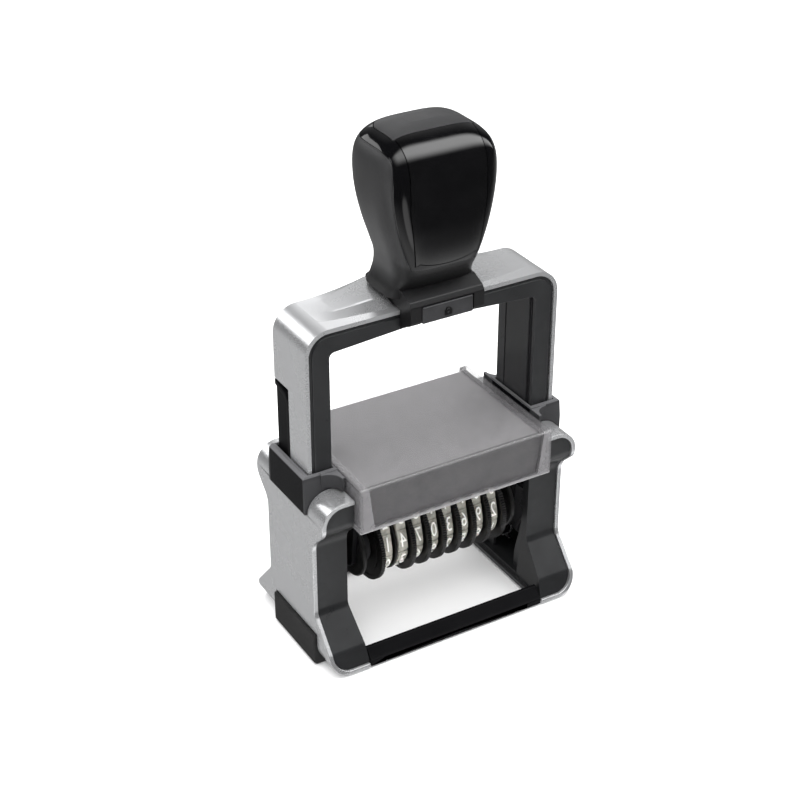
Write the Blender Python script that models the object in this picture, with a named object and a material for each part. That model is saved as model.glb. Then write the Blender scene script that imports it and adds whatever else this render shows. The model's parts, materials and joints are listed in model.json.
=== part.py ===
"""Self-inking numbering stamp with eight band wheels, as separate sub-parts with real joints.

Metres, +Z up, X across the stamp, front facing -Y, origin at the centre of the footprint.
At rest the handle is up and the print face lies against the ink pad. Pressing the handle lowers
the press body and turns the print unit half a turn, so the digits meet the paper at Z = 0.
"""
import math

import bmesh
import bpy
from mathutils import Matrix, Vector

MM = 0.001
GAP = 0.3 * MM                        # air between neighbouring pieces

# ---------------------------------------------------------------- driving dimensions
FRAME_HALF_WIDTH = 37.5 * MM          # outside of the lower frame's side covers
FRAME_BOTTOM = 0.6 * MM               # underside of the side covers, above the rubber feet
SHOULDER_TOP = 50.2 * MM              # top of the lower frame's shoulders
CORNER_RADIUS = 5.8 * MM              # round of the shoulders and bottom corners
SKIN = 1.1 * MM                       # thickness of the silver covers
LEG_INNER = 27.5 * MM                 # inner edge of a lower leg's front wall
LEG_HALF_DEPTH = 12.2 * MM            # half depth of a lower leg at its waist
LOBE_HALF_DEPTH = 17.8 * MM           # half depth of the shoulder lobes
BASE_HALF_DEPTH = 21.5 * MM           # half depth of the flared base
CHANNEL_HALF_DEPTH = 9.0 * MM         # half depth of the channel inside a lower leg
FOOT_INNER, FOOT_TOP = 30.5 * MM, 9.4 * MM             # extent of the rubber side feet
FOOT_FRONT, FOOT_BACK = -12.9 * MM, 9.2 * MM
FLOOR_TOP = 3.0 * MM                  # floor of that channel, the seat of the return spring

ARCH_HALF_WIDTH = 36.1 * MM           # outside of the upper frame's cover
ARCH_HALF_DEPTH = 8.25 * MM
ARCH_TOP = 93.2 * MM
ARCH_RADIUS = 6.6 * MM
ARCH_INNER = 29.45 * MM               # inner side of an upper leg
ARCH_UNDERSIDE = 86.9 * MM
ARCH_PEAK = 88.0 * MM                 # underside at the handle
UPPER_LEG_END = 50.0 * MM             # where the full leg section ends
TONGUE_END = 32.0 * MM                # lower end of the guide tongues

WINDOW_HALF_WIDTH = 28.2 * MM
WINDOW_FRONT = -20.0 * MM
WINDOW_BACK = 20.2 * MM
WINDOW_BOTTOM = 41.0 * MM
WINDOW_TOP = 54.0 * MM
WINDOW_WALL = 1.0 * MM

PIVOT_Y = -1.9 * MM                   # axis on which the print unit turns over
PIVOT_Z = 35.25 * MM
FACE_HEIGHT = 7.5 * MM                # digits above the pivot
AXLE_DROP = 10.1 * MM                 # wheel axle below the pivot
UNIT_X = 1.2 * MM                     # middle of the row of bands
PITCH = 4.6 * MM                      # from one digit to the next
WHEEL_RADIUS = 10.6 * MM
WHEEL_DISC = 1.15 * MM                # thickness of a wheel's rim disc
WHEEL_TEETH = 30
DRUM_RADIUS = 6.9 * MM
AXLE_RADIUS = 1.6 * MM
BAND_THICKNESS = 1.1 * MM
DIGIT_HEIGHT = 0.6 * MM               # raised digits stand this far out of the band
TRUNNION_RADIUS = 1.8 * MM

PAD_UNDERSIDE = PIVOT_Z + FACE_HEIGHT + GAP

SPRING_X = 32.08 * MM
SPRING_Y = 4.6 * MM
SPRING_TOP = 70.7 * MM
SPRING_RADIUS = 1.45 * MM             # to the middle of the wire
SPRING_WIRE = 0.3 * MM                # radius of the wire
SPRING_TURNS = 14

HANDLE_SHELL = 1.4 * MM               # thickness of the handle's panel and cap

# height, half width, front and back of the handle, from the neck to the crown
HANDLE_SECTIONS = [
    (96.3, 12.6, -9.4, 8.3), (98.4, 11.4, -9.4, 8.2), (101.2, 10.6, -11.0, 8.2),
    (104.4, 10.7, -13.0, 8.4), (108.0, 11.8, -13.8, 8.9), (113.6, 13.6, -14.1, 9.6),
    (119.6, 15.0, -14.1, 10.2), (125.0, 15.6, -14.0, 10.5), (129.6, 15.5, -13.5, 10.4),
    (132.7, 14.6, -12.2, 9.7), (134.9, 12.8, -9.9, 8.4), (136.4, 10.2, -7.2, 6.6),
    (137.2, 7.0, -4.4, 4.6), (137.5, 3.6, -2.0, 2.6)]

# ---------------------------------------------------------------- materials
LOOKS = {                             # colour, roughness, metallic
    "black_plastic": ((0.025, 0.025, 0.027), 0.45, 0.0),
    "gloss_black": ((0.010, 0.010, 0.011), 0.12, 0.0),
    "grey_plastic": ((0.090, 0.090, 0.095), 0.50, 0.0),
    "silver_paint": ((0.420, 0.430, 0.440), 0.35, 0.6),
    "rubber": ((0.015, 0.015, 0.015), 0.75, 0.0),
    "band_rubber": ((0.780, 0.760, 0.690), 0.60, 0.0),
    "clear_plastic": ((0.450, 0.450, 0.460), 0.10, 0.0),
    "card": ((0.160, 0.155, 0.160), 0.80, 0.0),
    "steel": ((0.560, 0.570, 0.580), 0.25, 1.0),
    "ink_felt": ((0.030, 0.040, 0.120), 0.95, 0.0),
}


def material(name, look):
    """A Principled material for one sub-part."""
    colour, roughness, metallic = LOOKS[look]
    made = bpy.data.materials.new(name + "_material")
    made.use_nodes = True
    shader = made.node_tree.nodes["Principled BSDF"]
    shader.inputs["Base Color"].default_value = (*colour, 1.0)
    shader.inputs["Roughness"].default_value = roughness
    shader.inputs["Metallic"].default_value = metallic
    return made


# ---------------------------------------------------------------- modelling helpers
def new_object(name, mesh, smooth=False):
    """Put a mesh in the scene, with smooth shading across shallow edges if asked."""
    made = bpy.data.objects.new(name, mesh)
    bpy.context.scene.collection.objects.link(made)
    if smooth:
        mesh.shade_smooth()
        mesh.set_sharp_from_angle(angle=math.radians(35))
    return made


def from_bmesh(name, bm, smooth=False):
    """Close a bmesh into an object whose faces point out."""
    bmesh.ops.recalc_face_normals(bm, faces=bm.faces)
    mesh = bpy.data.meshes.new(name)
    bm.to_mesh(mesh)
    bm.free()
    return new_object(name, mesh, smooth)


def along(axis, u, v, w):
    """The point at (u, v) in the plane across an axis and w along it."""
    return {"X": (w, u, v), "Y": (u, w, v), "Z": (u, v, w)}[axis]


def prism(name, outline, axis, low, high, smooth=False):
    """An outline extruded along an axis between two stations."""
    bm = bmesh.new()
    rings = [[bm.verts.new(along(axis, u, v, w)) for u, v in outline] for w in (low, high)]
    bm.faces.new(rings[0])
    bm.faces.new(reversed(rings[1]))
    for i in range(len(outline)):
        j = (i + 1) % len(outline)
        bm.faces.new((rings[0][i], rings[1][i], rings[1][j], rings[0][j]))
    return from_bmesh(name, bm, smooth)


def block(name, low, high):
    """A plain box between two corners, for cutters and flat plates."""
    outline = [(low[0], low[1]), (high[0], low[1]), (high[0], high[1]), (low[0], high[1])]
    return prism(name, outline, "Z", low[2], high[2])


def hull(name, points):
    """The convex body around a few points."""
    bm = bmesh.new()
    for point in points:
        bm.verts.new(point)
    result = bmesh.ops.convex_hull(bm, input=bm.verts)
    inside = [v for v in result["geom_interior"] if isinstance(v, bmesh.types.BMVert)]
    bmesh.ops.delete(bm, geom=inside, context="VERTS")
    return from_bmesh(name, bm)


def arc(centre, radius, start, end, steps):
    """Points on a circle, angles in degrees measured from +u towards +v."""
    angles = [math.radians(start + (end - start) * i / steps) for i in range(steps + 1)]
    return [(centre[0] + radius * math.cos(a), centre[1] + radius * math.sin(a)) for a in angles]


def circle(centre, radius, sides):
    """A closed regular outline."""
    return arc(centre, radius, 0, 360, sides)[:-1]


def filleted(corners, steps=4):
    """Round the corners of an outline; each corner is (u, v) or (u, v, radius)."""
    points = []
    for i, corner in enumerate(corners):
        here = Vector(corner[:2])
        radius = corner[2] if len(corner) > 2 else 0.0
        if radius == 0.0:
            points.append(tuple(here))
            continue
        before = (Vector(corners[i - 1][:2]) - here).normalized()
        after = (Vector(corners[(i + 1) % len(corners)][:2]) - here).normalized()
        half = before.angle(after) / 2
        centre = here + (before + after).normalized() * radius / math.sin(half)
        start = here + before * radius / math.tan(half) - centre
        turn = start.angle_signed(here + after * radius / math.tan(half) - centre)
        for step in range(steps + 1):
            spoke = start.copy()
            spoke.rotate(Matrix.Rotation(-turn * step / steps, 2))
            points.append(tuple(centre + spoke))
    return points


def lathe(name, profile, axis_y, axis_z, sides, smooth=True):
    """A ring about an axis along X, from a closed profile of (x, radius) points."""
    bm = bmesh.new()
    rings = []
    for i in range(sides):
        angle = 2 * math.pi * i / sides
        rings.append([bm.verts.new((x, axis_y + r * math.cos(angle), axis_z + r * math.sin(angle)))
                      for x, r in profile])
    for i in range(sides):
        here, there = rings[i], rings[(i + 1) % sides]
        for j in range(len(profile)):
            k = (j + 1) % len(profile)
            bm.faces.new((here[j], here[k], there[k], there[j]))
    return from_bmesh(name, bm, smooth)


def rod(name, start_x, end_x, axis_y, axis_z, radius, sides=20):
    """A round bar along X."""
    return prism(name, circle((axis_y, axis_z), radius, sides), "X", start_x, end_x, smooth=True)


def combine(target, other, operation):
    """Apply a Boolean at once and drop the other object."""
    modifier = target.modifiers.new(operation, "BOOLEAN")
    modifier.operation = operation
    modifier.solver = "EXACT"
    modifier.object = other
    graph = bpy.context.evaluated_depsgraph_get()
    mesh = bpy.data.meshes.new_from_object(target.evaluated_get(graph))
    target.modifiers.clear()
    target.data = mesh
    bpy.data.objects.remove(other, do_unlink=True)
    return target


def cut(target, *others):
    for other in others:
        combine(target, other, "DIFFERENCE")
    return target


def fuse(target, *others):
    for other in others:
        combine(target, other, "UNION")
    return target


def keep_inside(target, other):
    return combine(target, other, "INTERSECT")


def empty(name, place):
    """A marker on a joint's axis that carries the pieces of one body."""
    made = bpy.data.objects.new(name, None)
    made.location = place
    bpy.context.scene.collection.objects.link(made)
    return made


def finish(piece, look, body=None, origin=None):
    """Give a piece its material, and put its origin on its body's joint axis."""
    piece.data.materials.clear()
    piece.data.materials.append(material(piece.name, look))
    base = Vector(body.location) if body else Vector((0, 0, 0))
    place = Vector(origin) if origin else base
    piece.data.transform(Matrix.Translation(-place))
    piece.location = place - base
    piece.parent = body
    return piece


# ---------------------------------------------------------------- lower frame
def mirrored(side, outline):
    """An outline drawn for the right side, turned over for the left (side -1)."""
    return [(side * u, v) for u, v in outline]


def corner_band(side, outer_offset, inner_offset):
    """Front view of the skin round a lower leg, between two depths inside its outer line."""
    right = FRAME_HALF_WIDTH
    centre_x = right - CORNER_RADIUS
    top_z, low_z = SHOULDER_TOP - CORNER_RADIUS, FRAME_BOTTOM + CORNER_RADIUS
    outer, inner = CORNER_RADIUS - outer_offset, CORNER_RADIUS - inner_offset
    outline = [(WINDOW_HALF_WIDTH + GAP, SHOULDER_TOP - outer_offset)]
    outline += arc((centre_x, top_z), outer, 90, 0, 7)
    outline += arc((centre_x, low_z), outer, 0, -90, 7)
    outline += [(LEG_INNER - MM, FRAME_BOTTOM + outer_offset)]
    outline += [(LEG_INNER - MM, FRAME_BOTTOM + inner_offset)]
    outline += arc((centre_x, low_z), inner, -90, 0, 7)
    outline += arc((centre_x, top_z), inner, 0, 90, 7)
    outline += [(WINDOW_HALF_WIDTH + GAP, SHOULDER_TOP - inner_offset)]
    return mirrored(side, outline)


def leg_side_view(inset):
    """Side view (y, z) of a lower leg: lobes at the shoulder, a waist, and a flared foot."""
    lobe, waist, base = (LOBE_HALF_DEPTH - inset, LEG_HALF_DEPTH - inset, BASE_HALF_DEPTH - inset)
    half = [(lobe, SHOULDER_TOP + MM, 0.0), (lobe, 42.4 * MM, 4 * MM),
            (waist, 37.0 * MM, 5 * MM), (waist, 15.2 * MM, 3 * MM),
            (base - 1.6 * MM, 6.6 * MM, 3.0 * MM), (base, 1.6 * MM, 0.0)]
    low_z = FRAME_BOTTOM - MM
    front = [(-y, z, r) for y, z, r in half] + [(-base, low_z)]
    back = [(base, low_z)] + [(y, z, r) for y, z, r in reversed(half)]
    return filleted(front + back, 3)


def foot_cutter(side):
    """The zone of a rubber foot on a bottom corner, with a clearance all round."""
    x = sorted((side * (FOOT_INNER - GAP), side * 50 * MM))
    return block("foot_notch", (x[0], FOOT_FRONT - GAP, -2 * MM), (x[1], FOOT_BACK + GAP, FOOT_TOP + GAP))


def side_cover(side, name):
    """The silver cover round the outside of a lower leg."""
    cover = prism(name, corner_band(side, 0.0, SKIN), "Y", -25 * MM, 25 * MM)
    keep_inside(cover, prism("profile", leg_side_view(0.0), "X", -50 * MM, 50 * MM))
    x = sorted((side * 20 * MM, side * 50 * MM))
    collar_notch = block("collar_notch", (x[0], -9.9 * MM, 44.4 * MM), (x[1], 9.9 * MM, 60 * MM))
    return cut(cover, collar_notch, foot_cutter(side))


def leg_core_outline(side):
    """Front view of the black leg inside the cover."""
    depth = SKIN + GAP
    right = FRAME_HALF_WIDTH - CORNER_RADIUS
    radius = CORNER_RADIUS - depth
    outline = arc((right, FRAME_BOTTOM + CORNER_RADIUS), radius, -90, 0, 7)
    outline += arc((right, SHOULDER_TOP - CORNER_RADIUS), radius, 0, 90, 7)
    outline += [(WINDOW_HALF_WIDTH + GAP, SHOULDER_TOP - depth),
                (WINDOW_HALF_WIDTH + GAP, WINDOW_BOTTOM - GAP), (LEG_INNER, WINDOW_BOTTOM - GAP),
                (LEG_INNER, 15 * MM), (LEG_INNER - 0.8 * MM, 5.4 * MM),
                (LEG_INNER - MM, 2.8 * MM), (LEG_INNER - MM, FRAME_BOTTOM + depth)]
    return mirrored(side, outline)


def base_leg(side, name):
    """A black leg of the lower frame: a channel, open inwards, that guides the upper leg."""
    leg = prism(name, leg_core_outline(side), "Y", -25 * MM, 25 * MM)
    keep_inside(leg, prism("profile", leg_side_view(0.5 * MM), "X", -50 * MM, 50 * MM))
    wall_x = ARCH_INNER - GAP
    low_channel = sorted((side * 20 * MM, side * 50 * MM))
    high_channel = sorted((side * wall_x, side * 50 * MM))
    half = CHANNEL_HALF_DEPTH
    return cut(leg, block("channel", (low_channel[0], -half, FLOOR_TOP),
                          (low_channel[1], half, WINDOW_BOTTOM - GAP)),
               block("throat", (high_channel[0], -half, 30 * MM), (high_channel[1], half, 70 * MM)))


def base_bar(name, end):
    """The bar across the bottom, front (-1) or back (+1), between the two feet."""
    section = [(-21.3, 0.6), (-21.3, 2.2), (-20.8, 2.6), (-18.9, 5.0), (-18.0, 5.0), (-17.6, 0.6)]
    outline = [(-end * y * MM, z * MM) for y, z in section]
    reach = LEG_INNER - MM - GAP
    return prism(name, outline, "X", -reach, reach)


def side_foot(side, name):
    """A rubber foot wrapped round a bottom corner; it is what the stamp stands on."""
    corner = (FRAME_HALF_WIDTH - CORNER_RADIUS, FRAME_BOTTOM + CORNER_RADIUS)
    outer, chamfer, over_leg = 38.3 * MM, 0.8 * MM, CORNER_RADIUS - SKIN
    outline = [(FOOT_INNER, 0), (outer - chamfer, 0), (outer, chamfer), (outer, FOOT_TOP),
               (corner[0] + over_leg, FOOT_TOP)]
    outline += arc(corner, over_leg, 0, -90, 7) + [(FOOT_INNER, corner[1] - over_leg)]
    return prism(name, mirrored(side, outline), "Y", FOOT_FRONT, FOOT_BACK, True)


def leg_collar(side, name):
    """The black collar over a shoulder, round the upper leg, with a skirt on the outside."""
    inner, outer = WINDOW_HALF_WIDTH + 0.5 * MM, FRAME_HALF_WIDTH + 0.5 * MM
    top, depth = 55.0 * MM, 9.6 * MM
    shoulder = (FRAME_HALF_WIDTH - CORNER_RADIUS, SHOULDER_TOP - CORNER_RADIUS)
    over_leg = CORNER_RADIUS - SKIN
    outline = [(inner, shoulder[1] + over_leg)] + arc(shoulder, over_leg, 90, 0, 7)
    outline += [(outer, shoulder[1]), (outer, top - 1.2 * MM), (outer - 1.2 * MM, top), (inner, top)]
    collar = prism(name, mirrored(side, outline), "Y", -depth, depth)
    wing = [(-depth + MM, 50.6 * MM), (-13.4 * MM, 50.6 * MM), (-13.4 * MM, 51.6 * MM),
            (-depth, top - 0.6 * MM), (-depth + MM, top - 0.6 * MM)]
    for end in (-1, 1):
        wing_x = sorted((side * inner, side * (inner + 1.8 * MM)))
        fuse(collar, prism("wing", [(-end * y, z) for y, z in wing], "X", *wing_x))
    hole_x = sorted((side * (ARCH_INNER - GAP), side * (ARCH_HALF_WIDTH + GAP)))
    hole_y = ARCH_HALF_DEPTH + GAP
    return cut(collar, block("hole", (hole_x[0], -hole_y, 40 * MM), (hole_x[1], hole_y, 60 * MM)))


def cam_plate(side, name):
    """The guide plate inside a leg, with the curved rib that steers the turning unit."""
    inner, outer = 34.6 * MM, 36.0 * MM
    x = sorted((side * inner, side * outer))
    plate = block(name, (x[0], -8.7 * MM, 6.7 * MM), (x[1], 8.7 * MM, 22.0 * MM))
    path = [(3.4 - 3.2 * math.sin(math.pi * i / 8 - math.pi / 2), 7.4 + 1.7 * i) for i in range(9)]
    rib = [(y * MM, z * MM) for y, z in path] + [((y - 1.1) * MM, z * MM) for y, z in reversed(path)]
    rib = [(y - 7 * MM, z) for y, z in rib]
    rib_x = sorted((side * 33.9 * MM, side * 35 * MM))
    return fuse(plate, prism("rib", rib, "X", *rib_x))


# ---------------------------------------------------------------- window and ink pad
def window_cover(name):
    """The clear cover over the pad housing: top, front and two sides."""
    low = (-WINDOW_HALF_WIDTH, WINDOW_FRONT, WINDOW_BOTTOM)
    high = (WINDOW_HALF_WIDTH, WINDOW_BACK, WINDOW_TOP)
    cover = block(name, low, high)
    bevel = cover.modifiers.new("edge", "BEVEL")
    bevel.width, bevel.segments = 0.7 * MM, 2
    bevel.limit_method = "ANGLE"
    wall = WINDOW_WALL
    hollow = block("hollow", (low[0] + wall, low[1] + wall, low[2] - MM),
                   (high[0] - wall, high[1] + MM, high[2] - wall))
    return cut(cover, hollow)


def index_card(name):
    """The grey card behind the window, folded over the front edge of the housing."""
    low_z = WINDOW_BOTTOM + 0.5 * MM
    top_z = WINDOW_TOP - WINDOW_WALL - GAP
    front = WINDOW_FRONT + WINDOW_WALL + GAP
    half, thick = 26.8 * MM, 0.6 * MM
    flat = block(name, (-half, front, top_z - thick), (half, 19.4 * MM, top_z))
    drop = [(-24.0 * MM, low_z), (24.0 * MM, low_z), (25.6 * MM, top_z), (-25.6 * MM, top_z)]
    return fuse(flat, prism("front", drop, "Y", front, front + thick))


def pad_housing(name):
    """The black tray that holds the ink cartridge over the print unit."""
    housing = block(name, (-26.6 * MM, -17.6 * MM, 41.3 * MM), (26.6 * MM, 19.4 * MM, 51.6 * MM))
    slot = block("slot", (-22.5 * MM, -15 * MM, PAD_UNDERSIDE - GAP), (22.5 * MM, 25 * MM, 49.5 * MM))
    mouth = block("mouth", (-19.4 * MM, -9.5 * MM, 40 * MM), (21.8 * MM, 6.0 * MM, 44 * MM))
    return cut(housing, slot, mouth)


PAD_BOX = ((-18.4 * MM, -8.2 * MM), (20.8 * MM, 4.6 * MM))      # the felt, seen from above


def ink_cartridge(name):
    """The cartridge that slides out at the back, with a pocket for the felt and a pull lip."""
    (x0, y0), (x1, y1) = PAD_BOX
    body = block(name, (-22.2 * MM, -14.7 * MM, PAD_UNDERSIDE), (22.2 * MM, 19.0 * MM, 49.2 * MM))
    pocket = block("pocket", (x0 - GAP, y0 - GAP, 40 * MM), (x1 + GAP, y1 + GAP, PAD_UNDERSIDE + 2.3 * MM))
    cut(body, pocket)
    lip = block("lip", (-8 * MM, 18 * MM, 44.5 * MM), (8 * MM, 20.2 * MM, 46.0 * MM))
    return fuse(body, lip)


def ink_pad(name):
    (x0, y0), (x1, y1) = PAD_BOX
    return block(name, (x0, y0, PAD_UNDERSIDE), (x1, y1, PAD_UNDERSIDE + 2.0 * MM))


# ---------------------------------------------------------------- upper frame
def arch_outer(half_width, top, radius):
    """The outer line of the arch from lower right, over the top, to lower left."""
    right = arc((half_width - radius, top - radius), radius, 0, 90, 7)
    return right + [(-x, z) for x, z in reversed(right)]


def upper_frame(name):
    """The black arch with its two legs and the guide tongues below them."""
    core_half, core_top = ARCH_HALF_WIDTH - SKIN - GAP, ARCH_TOP - SKIN - GAP
    outline = [(core_half, TONGUE_END)] + arch_outer(core_half, core_top, ARCH_RADIUS - SKIN - GAP)
    outline += [(-core_half, TONGUE_END), (-ARCH_INNER, TONGUE_END)]
    inner = filleted([(-ARCH_INNER, ARCH_UNDERSIDE - 0.3 * MM, 1.5 * MM), (-9 * MM, ARCH_PEAK),
                      (9 * MM, ARCH_PEAK), (ARCH_INNER, ARCH_UNDERSIDE - 0.3 * MM, 1.5 * MM),
                      (ARCH_INNER, TONGUE_END), (-ARCH_INNER, TONGUE_END)])
    outline += inner[:-2] + [(ARCH_INNER, TONGUE_END)]
    frame = prism(name, outline, "Y", -ARCH_HALF_DEPTH, ARCH_HALF_DEPTH)
    for side in (-1, 1):
        relief = sorted((side * 33.4 * MM, side * 40 * MM))
        cut(frame, block("relief", (relief[0], -20 * MM, 20 * MM), (relief[1], 20 * MM, UPPER_LEG_END)),
            rod("trunnion_hole", *sorted((side * 25 * MM, side * 45 * MM)), PIVOT_Y, PIVOT_Z,
                TRUNNION_RADIUS + GAP),
            prism("spring_bore", circle((side * SPRING_X, SPRING_Y), 2.05 * MM, 16), "Z",
                  20 * MM, SPRING_TOP + GAP))
    return frame


def upper_cover(name):
    """The silver cover over the arch, raised into a saddle on either side of the handle."""
    outer = [(ARCH_HALF_WIDTH, UPPER_LEG_END)] + arch_outer(ARCH_HALF_WIDTH, ARCH_TOP, ARCH_RADIUS)
    outer += [(-ARCH_HALF_WIDTH, UPPER_LEG_END)]
    inner = [(ARCH_HALF_WIDTH - SKIN, UPPER_LEG_END)]
    inner += arch_outer(ARCH_HALF_WIDTH - SKIN, ARCH_TOP - SKIN, ARCH_RADIUS - SKIN)
    inner += [(SKIN - ARCH_HALF_WIDTH, UPPER_LEG_END)]
    cover = prism(name, outer + list(reversed(inner)), "Y", -ARCH_HALF_DEPTH, ARCH_HALF_DEPTH)
    high, ridge, foot, back = 95.9 * MM, -2.8 * MM, -4.7 * MM, ARCH_HALF_DEPTH
    root = ARCH_TOP - 0.6 * MM
    for side in (-1, 1):
        far, near = side * 30.5 * MM, side * 9.4 * MM
        points = [(far, ridge, ARCH_TOP), (far, back, ARCH_TOP), (near, ridge, high), (near, back, high)]
        points += [(near, foot, ARCH_TOP), (near, foot, root), (near, back, root),
                   (far, ridge, root), (far, back, root)]
        fuse(cover, hull("saddle", points))
        notch = sorted((side * 30 * MM, side * 40 * MM))
        cut(cover, block("inlay_notch", (notch[0], 0.9 * MM, 40 * MM), (notch[1], 12 * MM, 74.3 * MM)))
    return cut(cover, block("handle_gap", (-10.6 * MM, -20 * MM, ARCH_TOP + 0.05 * MM),
                            (10.6 * MM, 20 * MM, 99 * MM)))


def leg_inlay(side, name):
    """A black grip strip in the outer side of an upper leg, behind its middle."""
    outline = filleted([(1.2 * MM, UPPER_LEG_END), (8.25 * MM, UPPER_LEG_END),
                        (8.25 * MM, 74.0 * MM), (2.8 * MM, 72.4 * MM, 1.2 * MM),
                        (1.2 * MM, 70.6 * MM, 1.0 * MM)])
    x = sorted((side * (ARCH_HALF_WIDTH - SKIN), side * ARCH_HALF_WIDTH))
    return prism(name, outline, "X", *x)


# ---------------------------------------------------------------- handle
def handle_loft(name, inset):
    """The handle's outer form as a loft of rounded sections, set in by a wall thickness."""
    bm = bmesh.new()
    rings = []
    for height, half_width, front, back in HANDLE_SECTIONS:
        middle, half_depth = (front + back) / 2, (back - front) / 2
        ring = []
        for step in range(28):
            angle = 2 * math.pi * (step + 0.5) / 28
            c, s = math.cos(angle), math.sin(angle)
            power = 0.42 if s < 0 else 0.55
            x = math.copysign(abs(c) ** power, c) * (half_width - inset)
            y = math.copysign(abs(s) ** power, s) * (half_depth - inset) + middle
            drop = inset * min(1.0, max(0.0, (height - 120.0) / 15.0))
            ring.append(bm.verts.new((x * MM, y * MM, (height - drop) * MM)))
        rings.append(ring)
    bm.faces.new(rings[0])
    bm.faces.new(rings[-1])
    for low, high in zip(rings, rings[1:]):
        for i in range(len(low)):
            j = (i + 1) % len(low)
            bm.faces.new((low[i], low[j], high[j], high[i]))
    return from_bmesh(name, bm, True)


def panel_zone(name, grow):
    """The front shield of the handle, seen from the front."""
    outline = [(-11.8, 142.0), (-11.6, 120.0), (-9.8, 106.6), (-4.0, 105.4), (4.0, 105.4),
               (9.8, 106.6), (11.6, 120.0), (11.8, 142.0)]
    grown = [(x * (1 + grow / 11.6), z + (grow if z > 110 else -grow)) for x, z in outline]
    return prism(name, [(x * MM, z * MM) for x, z in grown], "Y", -30 * MM, (-6.4 + grow) * MM)


def cap_zone(name, grow):
    """The crown of the handle, seen from above."""
    ring = [(11.0, -6.1 + grow), (-11.0, -6.1 + grow)]
    ring += [(-11.0 * math.cos(a), 7.4 * math.sin(a)) for a in
             [math.pi * (i + 1) / 10 for i in range(9)]]
    sized = [(x * (1 + grow / 11.0), y + (grow if y > 0 else -2 * grow)) for x, y in ring]
    return prism(name, [(x * MM, y * MM) for x, y in sized], "Z", 130 * MM, 150 * MM)


def handle_piece(name, zone, shell):
    """One skin piece of the handle: its outer form within a zone, down to a wall's depth."""
    piece = keep_inside(handle_loft(name, 0.0), zone)
    return cut(piece, handle_loft("inside", shell / MM))


def handle_body(name):
    """The matte handle with its neck and the base that straddles the arch."""
    body = handle_loft(name, 0.0)
    for zone in (panel_zone("panel_recess", 0.3), cap_zone("cap_recess", 0.3)):
        pocket = cut(zone, handle_loft("floor", HANDLE_SHELL / MM + 0.3))
        cut(body, pocket)
    profile = [(-8.55, 88.6), (-13.2, 91.0), (-13.7, 91.8), (-13.7, 95.8), (-12.9, 97.0),
               (-9.2, 98.6), (5.0, 98.6), (8.2, 96.0), (8.2, 93.6), (-8.55, 93.6)]
    base = prism("base", [(y * MM, z * MM) for y, z in profile], "X", -10.3 * MM, 10.3 * MM)
    fuse(body, base)
    button_way = block("button_way", (-7.4 * MM, -20 * MM, 85 * MM), (7.4 * MM, -9.0 * MM, 95.7 * MM))
    return cut(body, button_way)


def lock_button(name):
    """The push button in the front of the handle's base."""
    return block(name, (-7.1 * MM, -13.9 * MM, 91.0 * MM), (7.1 * MM, -11.2 * MM, 95.4 * MM))


# ---------------------------------------------------------------- print unit
def band_outline(offset, corner_half_width=2.2 * MM, steps=(4, 10)):
    """The loop round the wheel's drum and the print bar, from the pivot, set out by an offset."""
    corner_radius = 1.2 * MM + offset
    drum = DRUM_RADIUS + GAP + offset
    corner_z = FACE_HEIGHT - DIGIT_HEIGHT - BAND_THICKNESS - 1.2 * MM
    reach = Vector((corner_half_width, corner_z + AXLE_DROP))
    lean = math.atan2(reach.x, reach.y) + math.acos((drum - corner_radius) / reach.length)
    points = []
    for i in range(steps[0] + 1):
        a = lean * i / steps[0]
        points.append((corner_half_width + corner_radius * math.sin(a),
                       corner_z + corner_radius * math.cos(a)))
    for i in range(steps[1] + 1):
        a = lean + (2 * math.pi - 2 * lean) * i / steps[1]
        points.append((drum * math.sin(a), -AXLE_DROP + drum * math.cos(a)))
    for i in range(steps[0] + 1):
        a = -lean + lean * i / steps[0]
        points.append((-corner_half_width + corner_radius * math.sin(a),
                       corner_z + corner_radius * math.cos(a)))
    return [(y + PIVOT_Y, z + PIVOT_Z) for y, z in points]


def band_x(number):
    """Middle of band 1 to 8, from the left."""
    return UNIT_X + (number - 4.5) * PITCH


def disc_x(number):
    """Middle of the rim disc of wheel 1 to 8: left of band 1, right of the others."""
    return UNIT_X + (-4 if number == 1 else number - 4) * PITCH


AXLE_Z = PIVOT_Z - AXLE_DROP
BAND_HALF = (PITCH - WHEEL_DISC) / 2 - GAP
STACK_LEFT = UNIT_X - 4 * PITCH - WHEEL_DISC / 2 - GAP
STACK_RIGHT = UNIT_X + 4 * PITCH + WHEEL_DISC / 2 + GAP
SPACER = 2.4 * MM
END_DISC = 1.2 * MM
PLATE = 1.5 * MM


def number_wheel(name, side):
    """A toothed rim disc with its drum; side is where the band lies, +1 right or -1 left."""
    rim = []
    for tooth in range(WHEEL_TEETH):
        for part, depth in ((0.0, 0.5), (0.5, 0.0)):
            angle = 2 * math.pi * (tooth + part) / WHEEL_TEETH
            radius = WHEEL_RADIUS - depth * MM
            rim.append((radius * math.cos(angle), radius * math.sin(angle)))
    wheel = prism(name, rim, "X", -WHEEL_DISC / 2, WHEEL_DISC / 2)
    reach = WHEEL_DISC / 2 + GAP + 2 * BAND_HALF
    drum = prism("drum", circle((0, 0), DRUM_RADIUS, 24), "X", *sorted((0.0, side * reach)))
    fuse(wheel, drum)
    return cut(wheel, rod("bore", -10 * MM, 10 * MM, 0, 0, AXLE_RADIUS + GAP, 24))


def number_band(name, x):
    """The rubber band of one digit place, a closed loop that carries the figures."""
    outer = prism(name, band_outline(BAND_THICKNESS), "X", x - BAND_HALF, x + BAND_HALF, True)
    return cut(outer, prism("inner", band_outline(0.0), "X", x - 10 * MM, x + 10 * MM))


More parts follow.
